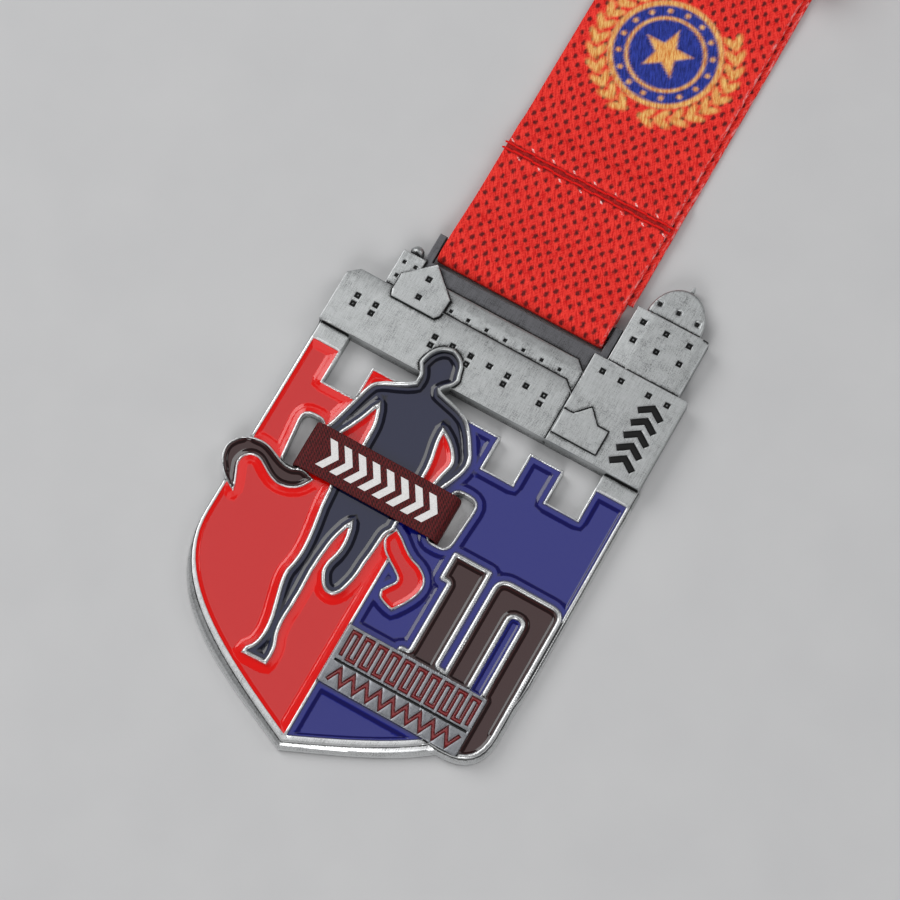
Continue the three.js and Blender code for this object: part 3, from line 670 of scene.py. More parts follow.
split_step(casting_tops["runner"])
split_step(casting_tops["head"])
casting_tops["runner"].level = neck_height
casting_tops["dome"].level = lambda p: np.full(len(p), DOME_TOP)
casting_tops["dome"].radius = DOME["radius"]
casting_bottoms["dome"].level = lambda p: np.zeros(len(p))
casting_bottoms["dome"].radius = DOME["under_radius"]
for key, height in (("ball", ball_height), ("bar", bar_height)):
    for side, regions in ((1, casting_tops), (-1, casting_bottoms)):
        regions[key].level = lambda p, height=height, side=side: height(p, side)
        regions[key].radius = 0
# Each roof slopes down from a line in Y, with a fold along its stretches in X.
ROOFS = {
    WALL_TOP: {"line": 51.4, "slope": 0.15, "folds": ((-35.9, -26.4), (-14.8, 14.8))},
    RANGE_TOP: {"line": 56.4, "slope": 0.2, "folds": ((-15.0, 14.8),)},
}
for top, roof in ROOFS.items():
    casting_tops[top].level = roof_height(top, roof["line"], roof["slope"])
flange.level = flange_height
# A thin dark line at the foot of the rim: patina, and a painted shadow there.
flange.shade = lambda p: patina_and_wall_shadow(p, flange, depth=1.2, reach=0.09)

# Distances from a surface's falling and rising edges at which it gets rings of points.
RINGS = {
    "ball": ((0.05, 0.15, 0.35, 0.6, 0.9, 1.2), ()),
    "bar": ((0.03, 0.12, 0.3, 0.6, 0.9), ()),
    FLANGE_TOP: ((0.07, 0.2, 0.42, 0.58), (0.06, 0.3, 0.6, 0.8)),
}
PATINA_RINGS = (0.15, 0.4, 0.9)
LOW_FLOOR = 2.5
SMALL_RADIUS = 0.25


def casting_rings(region):
    r = region.radius
    if region.key in RINGS:
        return RINGS[region.key]
    if region.level(region.low[None, :])[0] < LOW_FLOOR and region.key not in ("runner", "head"):
        return (), ()
    if r < SMALL_RADIUS:
        return (0.45 * r, r, r + 0.35), PATINA_RINGS
    return (0.08 * r, 0.29 * r, 0.62 * r, r, r + 0.06), PATINA_RINGS


ROOF_FOLDS = [
    (left, roof["line"], right, roof["line"]) for roof in ROOFS.values() for left, right in roof["folds"]
]
PANE_FOLDS = [
    edge
    for x, y, size in WINDOWS
    if size == WINDOW
    for half in (PANE["outer"], PANE["inner"])
    for edge in square(x, y, half)
]
casting = relief("casting", casting_tops, casting_bottoms, casting_rings, ROOF_FOLDS + PANE_FOLDS)
for material in CASTING_MATERIALS:
    casting.data.materials.append(material)
for face in casting.data.polygons:
    if face.material_index == SHIELD_LOOK and face.center.y > LEDGE_LINE * MM:
        face.material_index = CASTLE_LOOK
level_shading(casting)
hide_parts("medal_casting")
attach(casting, "medal")

# ---- the enamel
# The fills of each colour: its material and material slot, and the ends of their nodes' names.
ENAMELS = {
    "enamel_red_": (RED, "enamel_red", ("upper", "lower", "merlon", "arm_left", "arm_right", "hip_tail")),
    "enamel_blue_": (BLUE, "enamel_blue", ("main", "foot", "zero_eye")),
    "enamel_navy_": (NAVY, "enamel_navy", ("runner",)),
    "enamel_brown_": (BROWN, "enamel_brown", ("side_tail", "one", "zero")),
    "enamel_row_": (ROW_RED, "row_red", "12"),
    "black_chevron_": (BLACK, "mark_black", "12345"),
}
FILLS = [(start + end, *look) for start, (*look, ends) in ENAMELS.items() for end in ends]
# How far each fill stands up along its walls, and from and to where it falls to its level.
MENISCUS = {
    "enamel_row": (-0.06, 0.05, 0.3),
    "chevron": (-0.05, 0.05, 0.3),
    "eye": (0.2, 0.3, 0.8),
    "tail": (0.24, 0.3, 0.95),
    "one": (0.2, 0.3, 1.0),
    "zero": (0.2, 0.3, 1.0),
    "arm": (0.25, 0.35, 0.9),
    "merlon": (0.25, 0.45, 1.0),
    "runner": (0.24, 0.55, 1.5),
}
WIDE_MENISCUS = (0.27, 0.85, 1.95)
# How far the shelf along the walls slopes, and how much painted shade it takes.
RED_SHELF = {"fall": 0.12, "shade": 1.0}
PLAIN_SHELF = {"fall": 0.04, "shade": 0.0}
# Walls this near to the flange are the shield's outer rim, where the shelf is narrower by a rate.
RIM_WIDTH = 1.3
OUTER_RATE = 2.4


def wall_distance(region):
    """Distance from a fill's walls, counted faster from the outer rim, as a function of points."""
    middles = (region.edges[:, :2] + region.edges[:, 2:]) / 2
    outer = gap(middles, flange.rising) < RIM_WIDTH
    inner_walls, outer_walls = region.edges[~outer], region.edges[outer]
    return lambda p: np.minimum(gap(p, inner_walls), OUTER_RATE * gap(p, outer_walls))


def meniscus(base, distance, shelf, climb, start, end):
    """A fill's height: a shelf along its walls, then a smooth fall to a level middle."""

    def height(p):
        away = distance(p)
        fall = smooth_rise(away, start, end)
        return base + (climb - shelf["fall"] * np.minimum(away / start, 1)) * (1 - fall)

    return height


# How strongly the fall takes the painted shade, and how far the painted shadow line reaches from a wall.
FALL_SHADE, WALL_SHADOW_REACH = 6, 0.1


def fill_shade(distance, shelf, start, end):
    """Painted shade: the colour is deepest on the fall, where the slope reflects no light, in a painted
    shadow line at the wall, and in red on the shelf too.
    """

    def shade(p):
        away = distance(p)
        fall = smooth_rise(away, start, end)
        deep = np.minimum((FALL_SHADE * fall + shelf["shade"]) * (1 - fall), 1)
        return deep + np.exp(-away / WALL_SHADOW_REACH)

    return shade


def height_zone(middle, normal):
    return round(middle[2], 2)


for node, material, slot in FILLS:
    lids, floors = (regions_of(node, side, height_zone) for side in (1, -1))
    climb, start, end = next((m for word, m in MENISCUS.items() if word in node), WIDE_MENISCUS)
    shelf = RED_SHELF if material is RED else PLAIN_SHELF
    for lid in lids.values():
        distance = wall_distance(lid)
        base = lid.level(np.zeros((1, 2)))[0]
        lid.level = meniscus(base, distance, shelf, climb, start, end)
        lid.shade = fill_shade(distance, shelf, start, end)
        lid.falling, lid.rising = lid.rising, lid.falling
        lid.radius = 0
    for underside in floors.values():
        underside.radius = 0
    steps = [0.4 * start, start] + [start + (end - start) * share for share in (0.25, 0.5, 0.75, 1)]
    if (climb, start, end) == WIDE_MENISCUS:
        steps += [step / OUTER_RATE for step in steps[1:]]
    piece = relief(node + "_fill", lids, floors, lambda region: ((), steps))
    piece.data.materials.append(material)
    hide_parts(node)
    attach(piece, "medal")


# ---- swept straps
def run_length(path):
    """The length along a path at each of its points."""
    return np.concatenate([[0], np.cumsum(np.linalg.norm(np.diff(path, axis=0), axis=1))])


def at_lengths(path, lengths):
    along = run_length(path)
    return np.stack([np.interp(lengths, along, path[:, i]) for i in range(2)], 1)


def spaced(lengths, least):
    """Lengths in order, without those that follow another by no more than the least."""
    lengths = np.unique(np.concatenate(lengths))
    return lengths[np.concatenate([[True], np.diff(lengths) > least])]


def section(width, thickness, columns, radius):
    """A strap's cross-section with rounded edges: points across it and through it."""
    half, thick = width / 2, thickness / 2
    turn = np.linspace(0, math.pi / 2, 4)
    flat = np.linspace(-half + radius, half - radius, columns)
    right = [(half - radius + radius * math.sin(a), thick - radius + radius * math.cos(a)) for a in turn]
    ring = [(x, thick) for x in flat[:-1]] + right
    ring += [(x, -z) for x, z in reversed(right)]
    ring += [(x, -thick) for x in flat[::-1][1:-1]]
    ring += [(-x, -z) for x, z in right] + [(-x, z) for x, z in reversed(right[1:])]
    return np.array(ring)


def ring_faces(rows, count, closed=False):
    """Faces between rings of points in a row, with a cap at each end unless the row is closed."""
    faces = []
    for row in range(rows if closed else rows - 1):
        low, high = row * count, ((row + 1) % rows) * count
        for i in range(count):
            j = (i + 1) % count
            faces.append((low + i, high + i, high + j, low + j))
    if not closed:
        faces.append(tuple(range(count)))
        faces.append(tuple(reversed(range((rows - 1) * count, rows * count))))
    return faces


def joined(parts):
    """The points and faces of several parts as those of one mesh."""
    points, faces = [], []
    for part_points, part_faces in parts:
        faces += [tuple(len(points) + i for i in face) for face in part_faces]
        points += part_points
    return points, faces


def sweep(name, path, shape, place, closed=False, shift=lambda along: 0, wave=None):
    """A strap: the section swept along a path. place maps (side, along, up) to X, Y, Z."""
    along = run_length(path)
    ahead = np.roll(path, -1, 0) - np.roll(path, 1, 0) if closed else np.gradient(path, axis=0)
    ahead /= np.linalg.norm(ahead, axis=1)[:, None]
    out = np.stack([-ahead[:, 1], ahead[:, 0]], 1)
    points, coordinates = [], []
    for row in range(len(path)):
        lift = shape[:, 1] + (wave(shape[:, 0], along[row]) if wave else 0)
        base = path[row][None, :] + out[row][None, :] * lift[:, None]
        points += place(shape[:, 0] + shift(along[row]), base[:, 0], base[:, 1])
        coordinates += [(s, along[row]) for s in shape[:, 0]]
    made = finish_mesh(name, points, ring_faces(len(path), len(shape), closed), sharp=math.radians(60))
    layer = made.data.attributes.new("run", "FLOAT2", "POINT")
    layer.data.foreach_set("vector", np.array(coordinates, float).reshape(-1))
    return made


def loop_path(left, right, low, high, radii, step):
    """A closed rounded rectangle, with a radius for its low corners and one for its high corners."""
    path = []
    for n, (x, y) in enumerate(((left, low), (right, low), (right, high), (left, high))):
        radius = radii[n // 2]
        cx = x + radius * (1 if x == left else -1)
        cy = y + radius * (1 if y == low else -1)
        for a in np.linspace(math.pi * (1 + n / 2), math.pi * (1.5 + n / 2), 7):
            path.append((cx + radius * math.cos(a), cy + radius * math.sin(a)))
    path = np.array(path + path[:1])
    along = run_length(path)
    count = int(along[-1] / step)
    even = spaced([np.linspace(0, along[-1], count, endpoint=False), along[:-1]], 0.02)
    return at_lengths(path, even)[::-1]


def band(middle):
    """Places a loop that runs in X and Z, with its width along Y."""
    return lambda side, along, up: [(x, middle + s, z) for s, x, z in zip(side, along, up)]


# ---- the sash
# One loop of ribbon through both slots, over the runner and across the back.
SASH = {"left": -25.7, "right": 6.6, "low": 12.6, "high": 22.5, "back": 0.17, "front": 4.28}
SASH_THICK = 0.56
SASH_MIDDLE = (SASH["low"] + SASH["high"]) / 2
half = SASH_THICK / 2
sash = sweep(
    "sash",
    loop_path(
        SASH["left"] + half, SASH["right"] - half, SASH["back"] + half, SASH["front"] - half, (0.5, 1.5), 0.4
    ),
    section(SASH["high"] - SASH["low"], SASH_THICK, 34, 0.24),
    band(SASH_MIDDLE),
    closed=True,
    wave=lambda side, along: 0.02 * np.sin(along * 1.3) * np.cos(side * 0.5),
)


def woven(name, colour, dark, rib, roughness):
    """Ribbed woven ribbon: cross ribs and slanting warp threads."""
    s = Shader(name, Metallic=0.0, Specular_IOR_Level=0.3)
    across, along = s.run()
    weft = s.wave(along, rib)
    warp = s.wave(s.madd(along, 0.9, across), rib * 0.9)
    weave = s.add(s.madd(weft, 0.2, s.mul(warp, 0.25)), 0.5)
    fuzz = s.noise(s.place(), 2.6, 4.0, 0.7)
    tone = s.madd(fuzz, 1.3, s.mul(weave, 0.45))
    colour = s.mix(s.ramp(tone, 0.55, 1.25), dark, colour)
    rough = s.madd(weave, -0.15, roughness)
    bumps = s.bump(fuzz, 0.2, 0.1, s.bump(weave, 0.7, 0.12))
    return s.finish(colour, rough, bumps)


sash.data.materials.append(woven("sash_cloth", (0.16, 0.008, 0.010), (0.010, 0.001, 0.001), 0.7, 0.75))
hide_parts("sash_ribbon")
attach(sash, "medal")

# Chevrons printed on the front of the sash, as a thin skin. point is how far each one leads.
MARKS = {"first": -21.6, "pitch": 3.15, "count": 8, "half": 3.0, "point": 1.9, "width": 1.65}
SKIN_TOP, SKIN_FOOT = SASH["front"] + 0.03, SASH["front"] - 0.06


def chevron(number):
    """Points and faces of one chevron: a ring of four points for each row across the sash."""
    points = []
    rows = np.linspace(-MARKS["half"], MARKS["half"], 13)
    for row in rows:
        left = MARKS["first"] + number * MARKS["pitch"] + MARKS["point"] * (1 - abs(row) / MARKS["half"])
        right = left + MARKS["width"]
        ring = ((right, SKIN_TOP), (left, SKIN_TOP), (left, SKIN_FOOT), (right, SKIN_FOOT))
        points += [(x, SASH_MIDDLE + row, z) for x, z in ring]
    return points, ring_faces(len(rows), 4)


marks = finish_mesh("sash_marks", *joined(map(chevron, range(MARKS["count"]))))


def print_white():
    s = Shader("print_white", Metallic=0.0)
    fuzz = s.noise(s.place(), 5.0, 4.0, 0.6)
    colour = s.mix(s.ramp(fuzz, 0.3, 0.7), (0.72, 0.70, 0.69), (0.9, 0.89, 0.88))
    return s.finish(colour, s.madd(fuzz, 0.2, 0.4), s.bump(fuzz, 0.3, 0.05))


marks.data.materials.append(print_white())
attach(marks, "medal")

# ---- the neck ribbon
STRIP = {"width": 37.2, "centre": -3.4, "thick": 0.8, "gap": 0.05, "back_shift": 1.3}
LAYER = STRIP["thick"] + STRIP["gap"]
LOW = STRIP["gap"] + STRIP["thick"] / 2
FOLD = {"y": 65.15, "radius": 1.75}
FRONT_TOP = LOW + 2 * FOLD["radius"]
SEAM = {"y": 91.3, "spread": 0.6}
# Where the front strap meets the other two, where they end, and where the back strap is cut.
LAP, LAP_END, CUT_END = 96.5, 99.5, 74.0
RISE = (130, 148)  # both straps rise here to the foot of the bundle
BUNDLE = {"near": 152.5, "far": 220, "runs": 5, "lift": 0.45}
BUNDLE_FOOT = LOW + BUNDLE["lift"]
TOP_LAYER = BUNDLE_FOOT + (BUNDLE["runs"] - 1) * 2 * LAYER


def half_turn(y, lower, upper, direction):
    radius = (upper - lower) / 2
    turn = np.linspace(-math.pi / 2, math.pi / 2, 13)
    return [(y + direction * radius * math.cos(a), lower + radius + radius * math.sin(a)) for a in turn]


def bundle_path(starts_low):
    """The folds of one strap in the bundle: the two straps change places at each."""
    path, low = [], starts_low
    for run in range(BUNDLE["runs"] - 1):
        base = BUNDLE_FOOT + run * 2 * LAYER
        height = base + (0 if low else LAYER)
        above = base + 2 * LAYER + (LAYER if low else 0)
        end, direction = (BUNDLE["near"], -1) if run % 2 else (BUNDLE["far"], 1)
        path += half_turn(end, height, above, direction)
        low = not low
    return path


def eased(start, end, count=7):
    """A gentle step between two points, level at both ends."""
    t = np.linspace(0, 1, count)
    run, rise = end[0] - start[0], end[1] - start[1]
    return [(start[0] + run * a, start[1] + rise * b) for a, b in zip(t, t * t * (3 - 2 * t))]


front_run = [
    (LAP, LOW),
    *half_turn(FOLD["y"], LOW, FRONT_TOP, -1),
    *eased((66.5, FRONT_TOP), (81, LOW + 2 * LAYER), 9),
    *eased((LAP, LOW + 2 * LAYER), (LAP_END, LOW + LAYER)),
    *eased((RISE[0], LOW + LAYER), (RISE[1], BUNDLE_FOOT + LAYER)),
]
back_run = [
    (CUT_END, LOW + LAYER),
    *eased((LAP, LOW + LAYER), (LAP_END, LOW)),
    *eased((RISE[0], LOW), (RISE[1], BUNDLE_FOOT)),
]
strip_corners = np.array(
    front_run
    + bundle_path(False)
    + half_turn(BUNDLE["far"], TOP_LAYER, TOP_LAYER + LAYER, 1)[::-1]
    + (back_run + bundle_path(True))[::-1]
)
strip_along = run_length(strip_corners)
STRIP_LENGTH = strip_along[-1]
fold_start = strip_along[1]
bundle_start = strip_along[len(front_run) - 1]
bundle_end = STRIP_LENGTH - run_length(np.array(back_run))[-1]


def strip_shift(along):
    """The back strap lies a little to one side of the front one. The bundle takes up the difference."""
    share = np.clip((along - bundle_start) / (bundle_end - bundle_start), 0, 1)
    return STRIP["centre"] + STRIP["back_shift"] * share


# The strip has a row of points at each of these lengths: closer together where it is seen.
SEEN_FROM, SEEN_STEP, HIDDEN_STEP = 30, 0.45, 3.0
hidden_start = np.arange(0, SEEN_FROM, HIDDEN_STEP)
seen = np.arange(SEEN_FROM, bundle_start, SEEN_STEP)
hidden_end = np.arange(bundle_start, STRIP_LENGTH, HIDDEN_STEP)
strip_lengths = spaced([hidden_start, seen, hidden_end, strip_along], 0.04)
strip_line = at_lengths(strip_corners, strip_lengths)
strip = sweep(
    "neck_strap",
    strip_line,
    section(STRIP["width"], STRIP["thick"] - 0.04, 92, 0.3),
    lambda side, along, up: list(zip(side, along, up)),
    shift=strip_shift,
)
# The length along the strip at which the front strap, past the fold, passes the seam.
FOLD_RUN = 8
front = (strip_lengths > fold_start + FOLD_RUN) & (strip_lengths < bundle_start)
seam_along = float(np.interp(SEAM["y"], strip_line[front, 0], strip_lengths[front]))

# ---- the printed emblem
# A star in a plain beaded ring, between two leafy sprigs.
EMBLEM = {"x": -3.6, "y": 124.5, "radius": 11.6, "star": 5.4, "star_rise": 0.3}
PRINT_HEIGHT = 1.3  # the upper face of the front strap lies above this
RING_LINES = ((0.3, 0.55), (3.6, 0.35))  # how far in from the radius, and half the width
BEADS = {"count": 16, "inset": 2.0, "radius": 0.5}
SPRIG = {"leaves": 10, "first": -78, "pitch": 13, "length": 1.9, "width": 0.75}
LEAF_ROWS = ((0.55, 14.9), (-0.75, 13.5))  # the lean of a row of leaves, and its radius


def soft(distance, blur=0.25):
    """1 inside a shape, 0 outside, with a soft edge."""
    return np.clip(0.5 - distance / blur / 2, 0, 1)


def circle(x, y, radius):
    return np.hypot(x, y) - radius


def star(x, y, size):
    sector = TAU / 5
    local = np.abs((np.arctan2(x, y) + sector / 2) % sector - sector / 2)
    reach = np.hypot(x, y)
    px, py = reach * np.sin(local), reach * np.cos(local)
    tip = np.array([0, size])
    notch = np.array([math.sin(sector / 2), math.cos(sector / 2)]) * size * 0.42
    side = notch - tip
    return (px * side[1] - (py - tip[1]) * side[0]) / -np.linalg.norm(side)


def leaf(x, y, cx, cy, angle):
    dx, dy = x - cx, y - cy
    u = dx * math.cos(angle) + dy * math.sin(angle)
    v = -dx * math.sin(angle) + dy * math.cos(angle)
    return (np.hypot(u / SPRIG["length"], v / SPRIG["width"]) - 1) * SPRIG["width"]


def gold_distances(x, y):
    """The distance to each gold shape of the emblem in turn."""
    yield star(x, y - EMBLEM["star_rise"], EMBLEM["star"])
    for inset, width in RING_LINES:
        yield np.abs(circle(x, y, EMBLEM["radius"] - inset)) - width
    for n in range(BEADS["count"]):
        a, reach = TAU * n / BEADS["count"], EMBLEM["radius"] - BEADS["inset"]
        yield circle(x - reach * math.cos(a), y - reach * math.sin(a), BEADS["radius"])
    for mirror in (-1, 1):
        for n in range(SPRIG["leaves"]):
            a = math.radians(SPRIG["first"] + n * SPRIG["pitch"])
            for turn, radius in LEAF_ROWS:
                lean = math.pi / 2 + mirror * (a - turn)
                yield leaf(x, y, mirror * radius * math.cos(a), radius * math.sin(a), lean)


strip_points = mesh_values(strip.data.vertices, "co", 3) / MM
along = mesh_values(strip.data.attributes["run"].data, "vector", 2)[:, 1]
on_front = (along > fold_start + 3) & (along < bundle_start) & (strip_points[:, 2] > PRINT_HEIGHT)
emblem_x, emblem_y = strip_points[:, 0] - EMBLEM["x"], strip_points[:, 1] - EMBLEM["y"]
blue_mask = soft(circle(emblem_x, emblem_y, EMBLEM["radius"]))
gold_mask = np.zeros(len(strip_points))
for distance in gold_distances(emblem_x, emblem_y):
    gold_mask = np.maximum(gold_mask, soft(distance))
for label, mask in (("print_blue", blue_mask), ("print_gold", gold_mask)):
    layer = strip.data.attributes.new(label, "FLOAT", "POINT")
    layer.data.foreach_set("value", np.where(on_front, mask, 0))


# ---- the ribbon's cloth
DOT = {"across": 2.66, "along": 3.36, "half_width": 0.44, "half_length": 0.62}
KNIT = {"column": 1.33, "row": 0.84}
SELVEDGE = (17.6, 18.4)  # the dots end between these distances from the middle
NEEDLE_HOLES = {"pitch": 4.7, "off_seam": 1.5, "radius": 0.24}


def neck_cloth():
    """Dye-printed knitted ribbon: red with small dark dots, V-shaped stitches and white fibre."""
    s = Shader("neck_cloth", Metallic=0.0, Specular_IOR_Level=0.25)
    across, along = s.run()
    sway = s.madd(s.noise(s.place(), 1.6, 2.0), 0.8, -0.4)

    def cell(value, pitch, shift, half):
        """The distance from the middle of a lattice cell, in half dots."""
        place = s.math("FRACT", s.add(s.div(s.add(value, sway), pitch), shift))
        return s.mul(s.sub(place, 0.5), pitch / half)

    def lattice(shift_x, shift_y):
        u = cell(across, DOT["across"], shift_x, DOT["half_width"])
        v = cell(along, DOT["along"], shift_y, DOT["half_length"])
        return s.math("SQRT", s.madd(u, u, s.mul(v, v)))

    near_dot = s.math("MINIMUM", lattice(0.0, 0.0), lattice(0.5, 0.56))
    # Columns of V-shaped stitches, and slanting streaks along the yarn whose brighter colour is partly a
    # painted sheen.
    slant = s.absolute(s.sub(s.math("FRACT", s.div(across, KNIT["column"])), 0.5))
    row = s.sub(s.div(along, KNIT["row"]), s.mul(slant, 2.2))
    stitch = s.madd(s.wave(row, 1), 0.5, 0.5)
    knit = s.mul(stitch, s.madd(s.ramp(slant, 0.5, 0.40), 0.6, 0.4))
    fuzz = s.noise(s.place(), 3.0, 4.0, 0.65)
    lean = s.madd(along, 1.1, s.mul(across, 2.6))
    yarn = s.node("CombineXYZ", {0: lean, 1: s.mul(along, 0.5), 2: 0.0})
    streak = s.noise(yarn.outputs[0], 1.0, 3.0, 0.6)
    tone = s.madd(streak, 1.2, s.mul(knit, 0.12))
    colour = s.mix(s.ramp(tone, 0.40, 0.86), (0.62, 0.003, 0.003), (1.0, 0.048, 0.032))
    inner = s.ramp(s.absolute(across), SELVEDGE[1], SELVEDGE[0])
    dots = s.mul(s.mul(s.ramp(near_dot, 1.45, 0.45), inner), s.madd(fuzz, 0.5, 0.65))
    colour = s.mix(dots, colour, (0.060, 0.004, 0.005))
    # The emblem's two inks.
    ink = s.ramp(streak, 0.3, 0.7)
    blue = s.mix(ink, (0.008, 0.018, 0.16), (0.030, 0.055, 0.40))
    gold = s.mix(ink, (0.70, 0.20, 0.03), (1.0, 0.62, 0.20))
    colour = s.mix(s.mask("print_blue"), colour, blue)
    colour = s.mix(s.mask("print_gold"), colour, gold)
    # Painted shade darkens the cloth along the seam, standing in for the crease the seam pulls, with white
    # fibre at the needle holes.
    off = s.sub(along, seam_along)
    seam_shade = s.mul(s.ramp(s.absolute(off), 1.35, 0.75), 0.75)
    colour = s.mix(seam_shade, colour, (0.20, 0.002, 0.003))
    pitch, radius = NEEDLE_HOLES["pitch"], NEEDLE_HOLES["radius"]
    hole = s.sub(s.math("FRACT", s.div(s.add(across, off), pitch)), 0.5)
    hole = s.absolute(s.mul(hole, pitch / radius))
    row_gap = s.sub(s.absolute(off), NEEDLE_HOLES["off_seam"])
    hole = s.math("MAXIMUM", hole, s.absolute(s.div(row_gap, radius)))
    holes = s.mul(s.ramp(hole, 1.4, 0.6), s.ramp(fuzz, 0.40, 0.56))
    colour = s.mix(holes, colour, (1.0, 0.72, 0.70))
    # Bare white fibre shows along one edge.
    flecks = s.noise(s.place((2.2, 0.5, 2.0)), 1.0, 4.0, 0.7)
    bare = s.mul(s.mul(s.ramp(across, 17.7, 18.5), s.ramp(flecks, 0.48, 0.64)), 0.55)
    colour = s.mix(bare, colour, (0.85, 0.55, 0.55))
    rough = s.madd(knit, -0.12, 0.78)
    bumps = s.bump(streak, 0.6, 0.2, s.bump(knit, 0.22, 0.2))
    return s.finish(colour, rough, bumps)


strip.data.materials.append(neck_cloth())
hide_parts("neck_ribbon")
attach(strip, "ribbon")

# ---- stitches
STITCH = {"length": 2.3, "overlap": 0.1, "thick": 0.48, "overhang": 0.5, "last": 0.3}
THREAD_PATH = {"sink": 0.08, "arch": 0.2, "sway": 0.13, "sway_rate": 1.7}
SEAM_TOP = LOW + 2 * LAYER + STRIP["thick"] / 2
STRIP_LEFT = STRIP["centre"] - STRIP["width"] / 2


def tube(path, radius, sides=8):
    """Points and faces of a closed round tube along a path, narrower at its ends."""
    path = np.array(path, float)
    ahead = np.gradient(path, axis=0)
    up = np.cross(ahead, (0.0, 1.0, 0.0))
    side = np.cross(ahead, up)
    points = []
    for i, spot in enumerate(path):
        reach = radius * (0.55 if i in (0, len(path) - 1) else 1.0)
        over, out = up[i] / np.linalg.norm(up[i]), side[i] / np.linalg.norm(side[i])
        for a in np.linspace(TAU, 0, sides, endpoint=False):
            points.append(spot + reach * (out * math.cos(a) + over * math.sin(a)))
    return points, ring_faces(len(path), sides)


def stitch(start, end, offset):
    """One arched stitch of a row."""
    stop = min(start + STITCH["length"] + STITCH["overlap"], end + STITCH["last"])
    y = SEAM["y"] + offset + THREAD_PATH["sway"] * math.sin(start * THREAD_PATH["sway_rate"] + offset)
    foot = SEAM_TOP - THREAD_PATH["sink"]
    path = [
        (start + (stop - start) * share, y, foot + THREAD_PATH["arch"] * math.sin(math.pi * share) ** 0.5)
        for share in np.linspace(0, 1, 9)
    ]
    return tube(path, STITCH["thick"] / 2)


def stitch_row(name, offset):
    """A row of stitches across the ribbon, end to end."""
    first = STRIP_LEFT - STITCH["overhang"]
    end = STRIP_LEFT + STRIP["width"] + STITCH["overhang"]
    starts = np.arange(first, end, STITCH["length"])
    return finish_mesh(name, *joined(stitch(start, end, offset) for start in starts))


def thread_red():
    s = Shader("seam_thread", Metallic=0.0, Specular_IOR_Level=0.25)
    twist = s.node("TexWave", {"Vector": s.place(), "Scale": 1.1, "Distortion": 0.6}).outputs[1]
    tone = s.madd(s.noise(s.place(), 5.0), 0.5, s.mul(twist, 0.5))
    colour = s.mix(tone, (0.62, 0.002, 0.002), (1.0, 0.012, 0.008))
    return s.finish(colour, s.madd(tone, -0.2, 0.75), s.bump(twist, 0.5, 0.08))


thread = thread_red()
for label, offset in (("seam_row_lower", -SEAM["spread"]), ("seam_row_upper", SEAM["spread"])):
    row = stitch_row(label + "_stitches", offset)
    row.data.materials.append(thread)
    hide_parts(label)
    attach(row, "ribbon")

# ---- the storage tie
TIE = {"middle": 186, "width": 6, "thick": 0.4, "slack": 0.1}
tie_room = TIE["slack"] + TIE["thick"] / 2
tie = sweep(
    "elastic_tie",
    loop_path(
        STRIP_LEFT - tie_room,
        STRIP_LEFT + STRIP["width"] + STRIP["back_shift"] + tie_room,
        STRIP["gap"] + TIE["thick"] / 2,
        TOP_LAYER + LAYER + STRIP["thick"] / 2 + tie_room,
        (0.35, 0.35),
        1.5,
    ),
    section(TIE["width"], TIE["thick"] - 0.06, 16, 0.14),
    band(TIE["middle"]),
    closed=True,
)


def elastic():
    s = Shader("tie_rubber", Metallic=0.0)
    ribs = s.wave(s.run()[0], 0.75)
    fuzz = s.noise(s.place(), 6.0, 3.0)
    tone = s.ramp(s.madd(ribs, 0.2, fuzz), 0.2, 0.8)
    colour = s.mix(tone, (0.010, 0.010, 0.011), (0.035, 0.035, 0.038))
    return s.finish(colour, s.madd(fuzz, 0.2, 0.6), s.bump(ribs, 0.6, 0.1))


tie.data.materials.append(elastic())
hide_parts("storage_tie")
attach(tie, "ribbon")

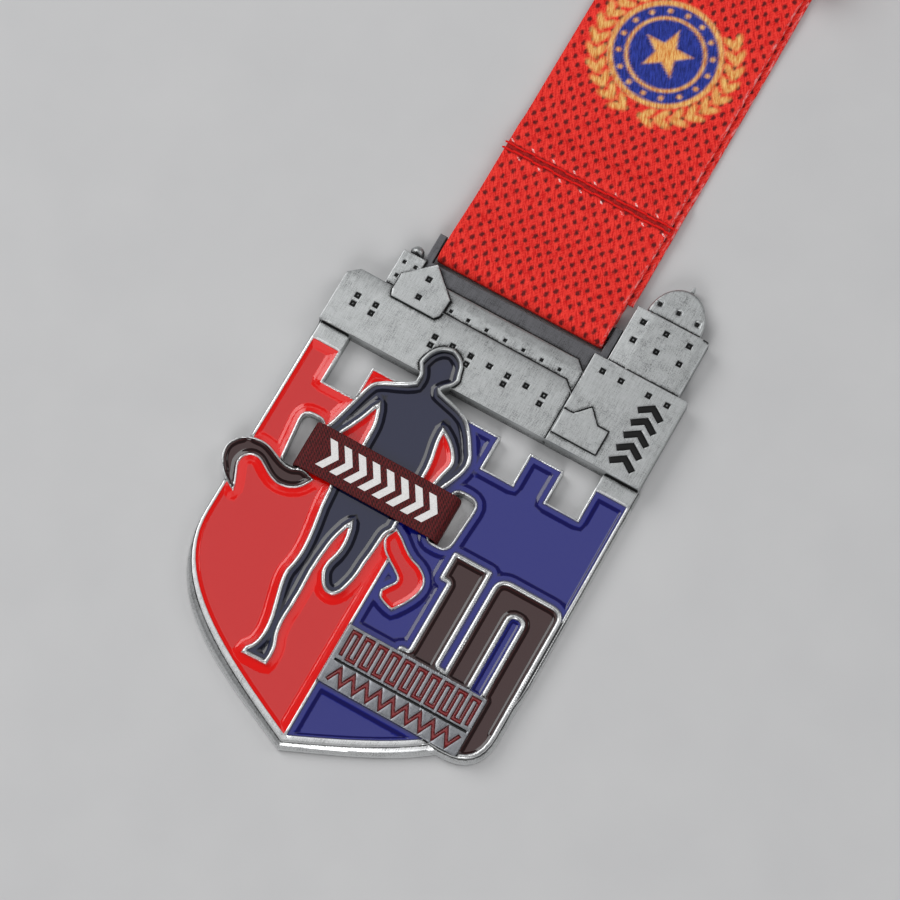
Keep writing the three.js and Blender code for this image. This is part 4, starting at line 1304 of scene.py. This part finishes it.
# ---- floor, light and camera
FLOOR = {"size": 6.0, "cells": 12, "z": -0.00002}  # in metres
row = FLOOR["cells"] + 1
grid = np.linspace(-FLOOR["size"] / 2, FLOOR["size"] / 2, row)
starts = [i + j * row for j in range(FLOOR["cells"]) for i in range(FLOOR["cells"])]
floor_mesh = bpy.data.meshes.new("floor")
floor_mesh.from_pydata(
    [(x, y, FLOOR["z"]) for y in grid for x in grid],
    [],
    [(first, first + 1, first + 1 + row, first + row) for first in starts],
)
floor = bpy.data.objects.new("floor", floor_mesh)
bpy.context.scene.collection.objects.link(floor)


def floor_finish():
    s = Shader("floor_pale", Metallic=0.0, Roughness=0.7)
    mottle = s.noise(s.place(), 0.05, 3.0)
    return s.finish(s.mix(mottle, (0.56, 0.56, 0.565), (0.62, 0.62, 0.62)))


floor.data.materials.append(floor_finish())

CAMERA = {"azimuth": 29.5, "elevation": 74.0, "distance": 0.600}
TARGET = Vector((-0.0004, 0.0302, 0.003))


def aim(name, data, azimuth, elevation, distance):
    """A camera or lamp in a given direction from the medal, in degrees, that looks at it."""
    a, e = math.radians(azimuth), math.radians(elevation)
    toward = Vector((math.sin(a) * math.cos(e), -math.cos(a) * math.cos(e), math.sin(e)))
    made = bpy.data.objects.new(name, data)
    made.location = TARGET + toward * distance
    made.rotation_euler = toward.to_track_quat("Z", "Y").to_euler()
    bpy.context.scene.collection.objects.link(made)
    return made


camera = bpy.data.cameras.new("camera")
camera.sensor_width = 36.0
camera.lens = 123.4
camera.clip_start = 0.01
camera.clip_end = 20.0
bpy.context.scene.camera = aim("camera", camera, **CAMERA)

# Square area lights: azimuth from the top of the picture, elevation, size and brightness.
PICTURE_TOP = CAMERA["azimuth"] + 180
PANELS = {
    "sky_panel": (0, 74.0, 0.64, 0.9),
    "key_panel": (45, 44.0, 0.75, 3.8),
    "right_panel": (-80, 40.0, 0.55, 2.6),
    "front_panel": (165, 36.0, 0.6, 4.4),
}
PANEL_DISTANCE = 1.2
for name, (azimuth, elevation, size, radiance) in PANELS.items():
    lamp = bpy.data.lights.new(name, "AREA")
    lamp.shape = "SQUARE"
    lamp.size = size
    lamp.energy = radiance * math.pi * size * size
    aim(name, lamp, PICTURE_TOP + azimuth, elevation, PANEL_DISTANCE)

world = bpy.data.worlds.new("studio")
world.use_nodes = True
background = world.node_tree.nodes["Background"].inputs
background["Color"].default_value = (0.96, 0.97, 1.0, 1)
background["Strength"].default_value = 0.22
bpy.context.scene.world = world
bpy.context.scene.view_settings.view_transform = "Standard"
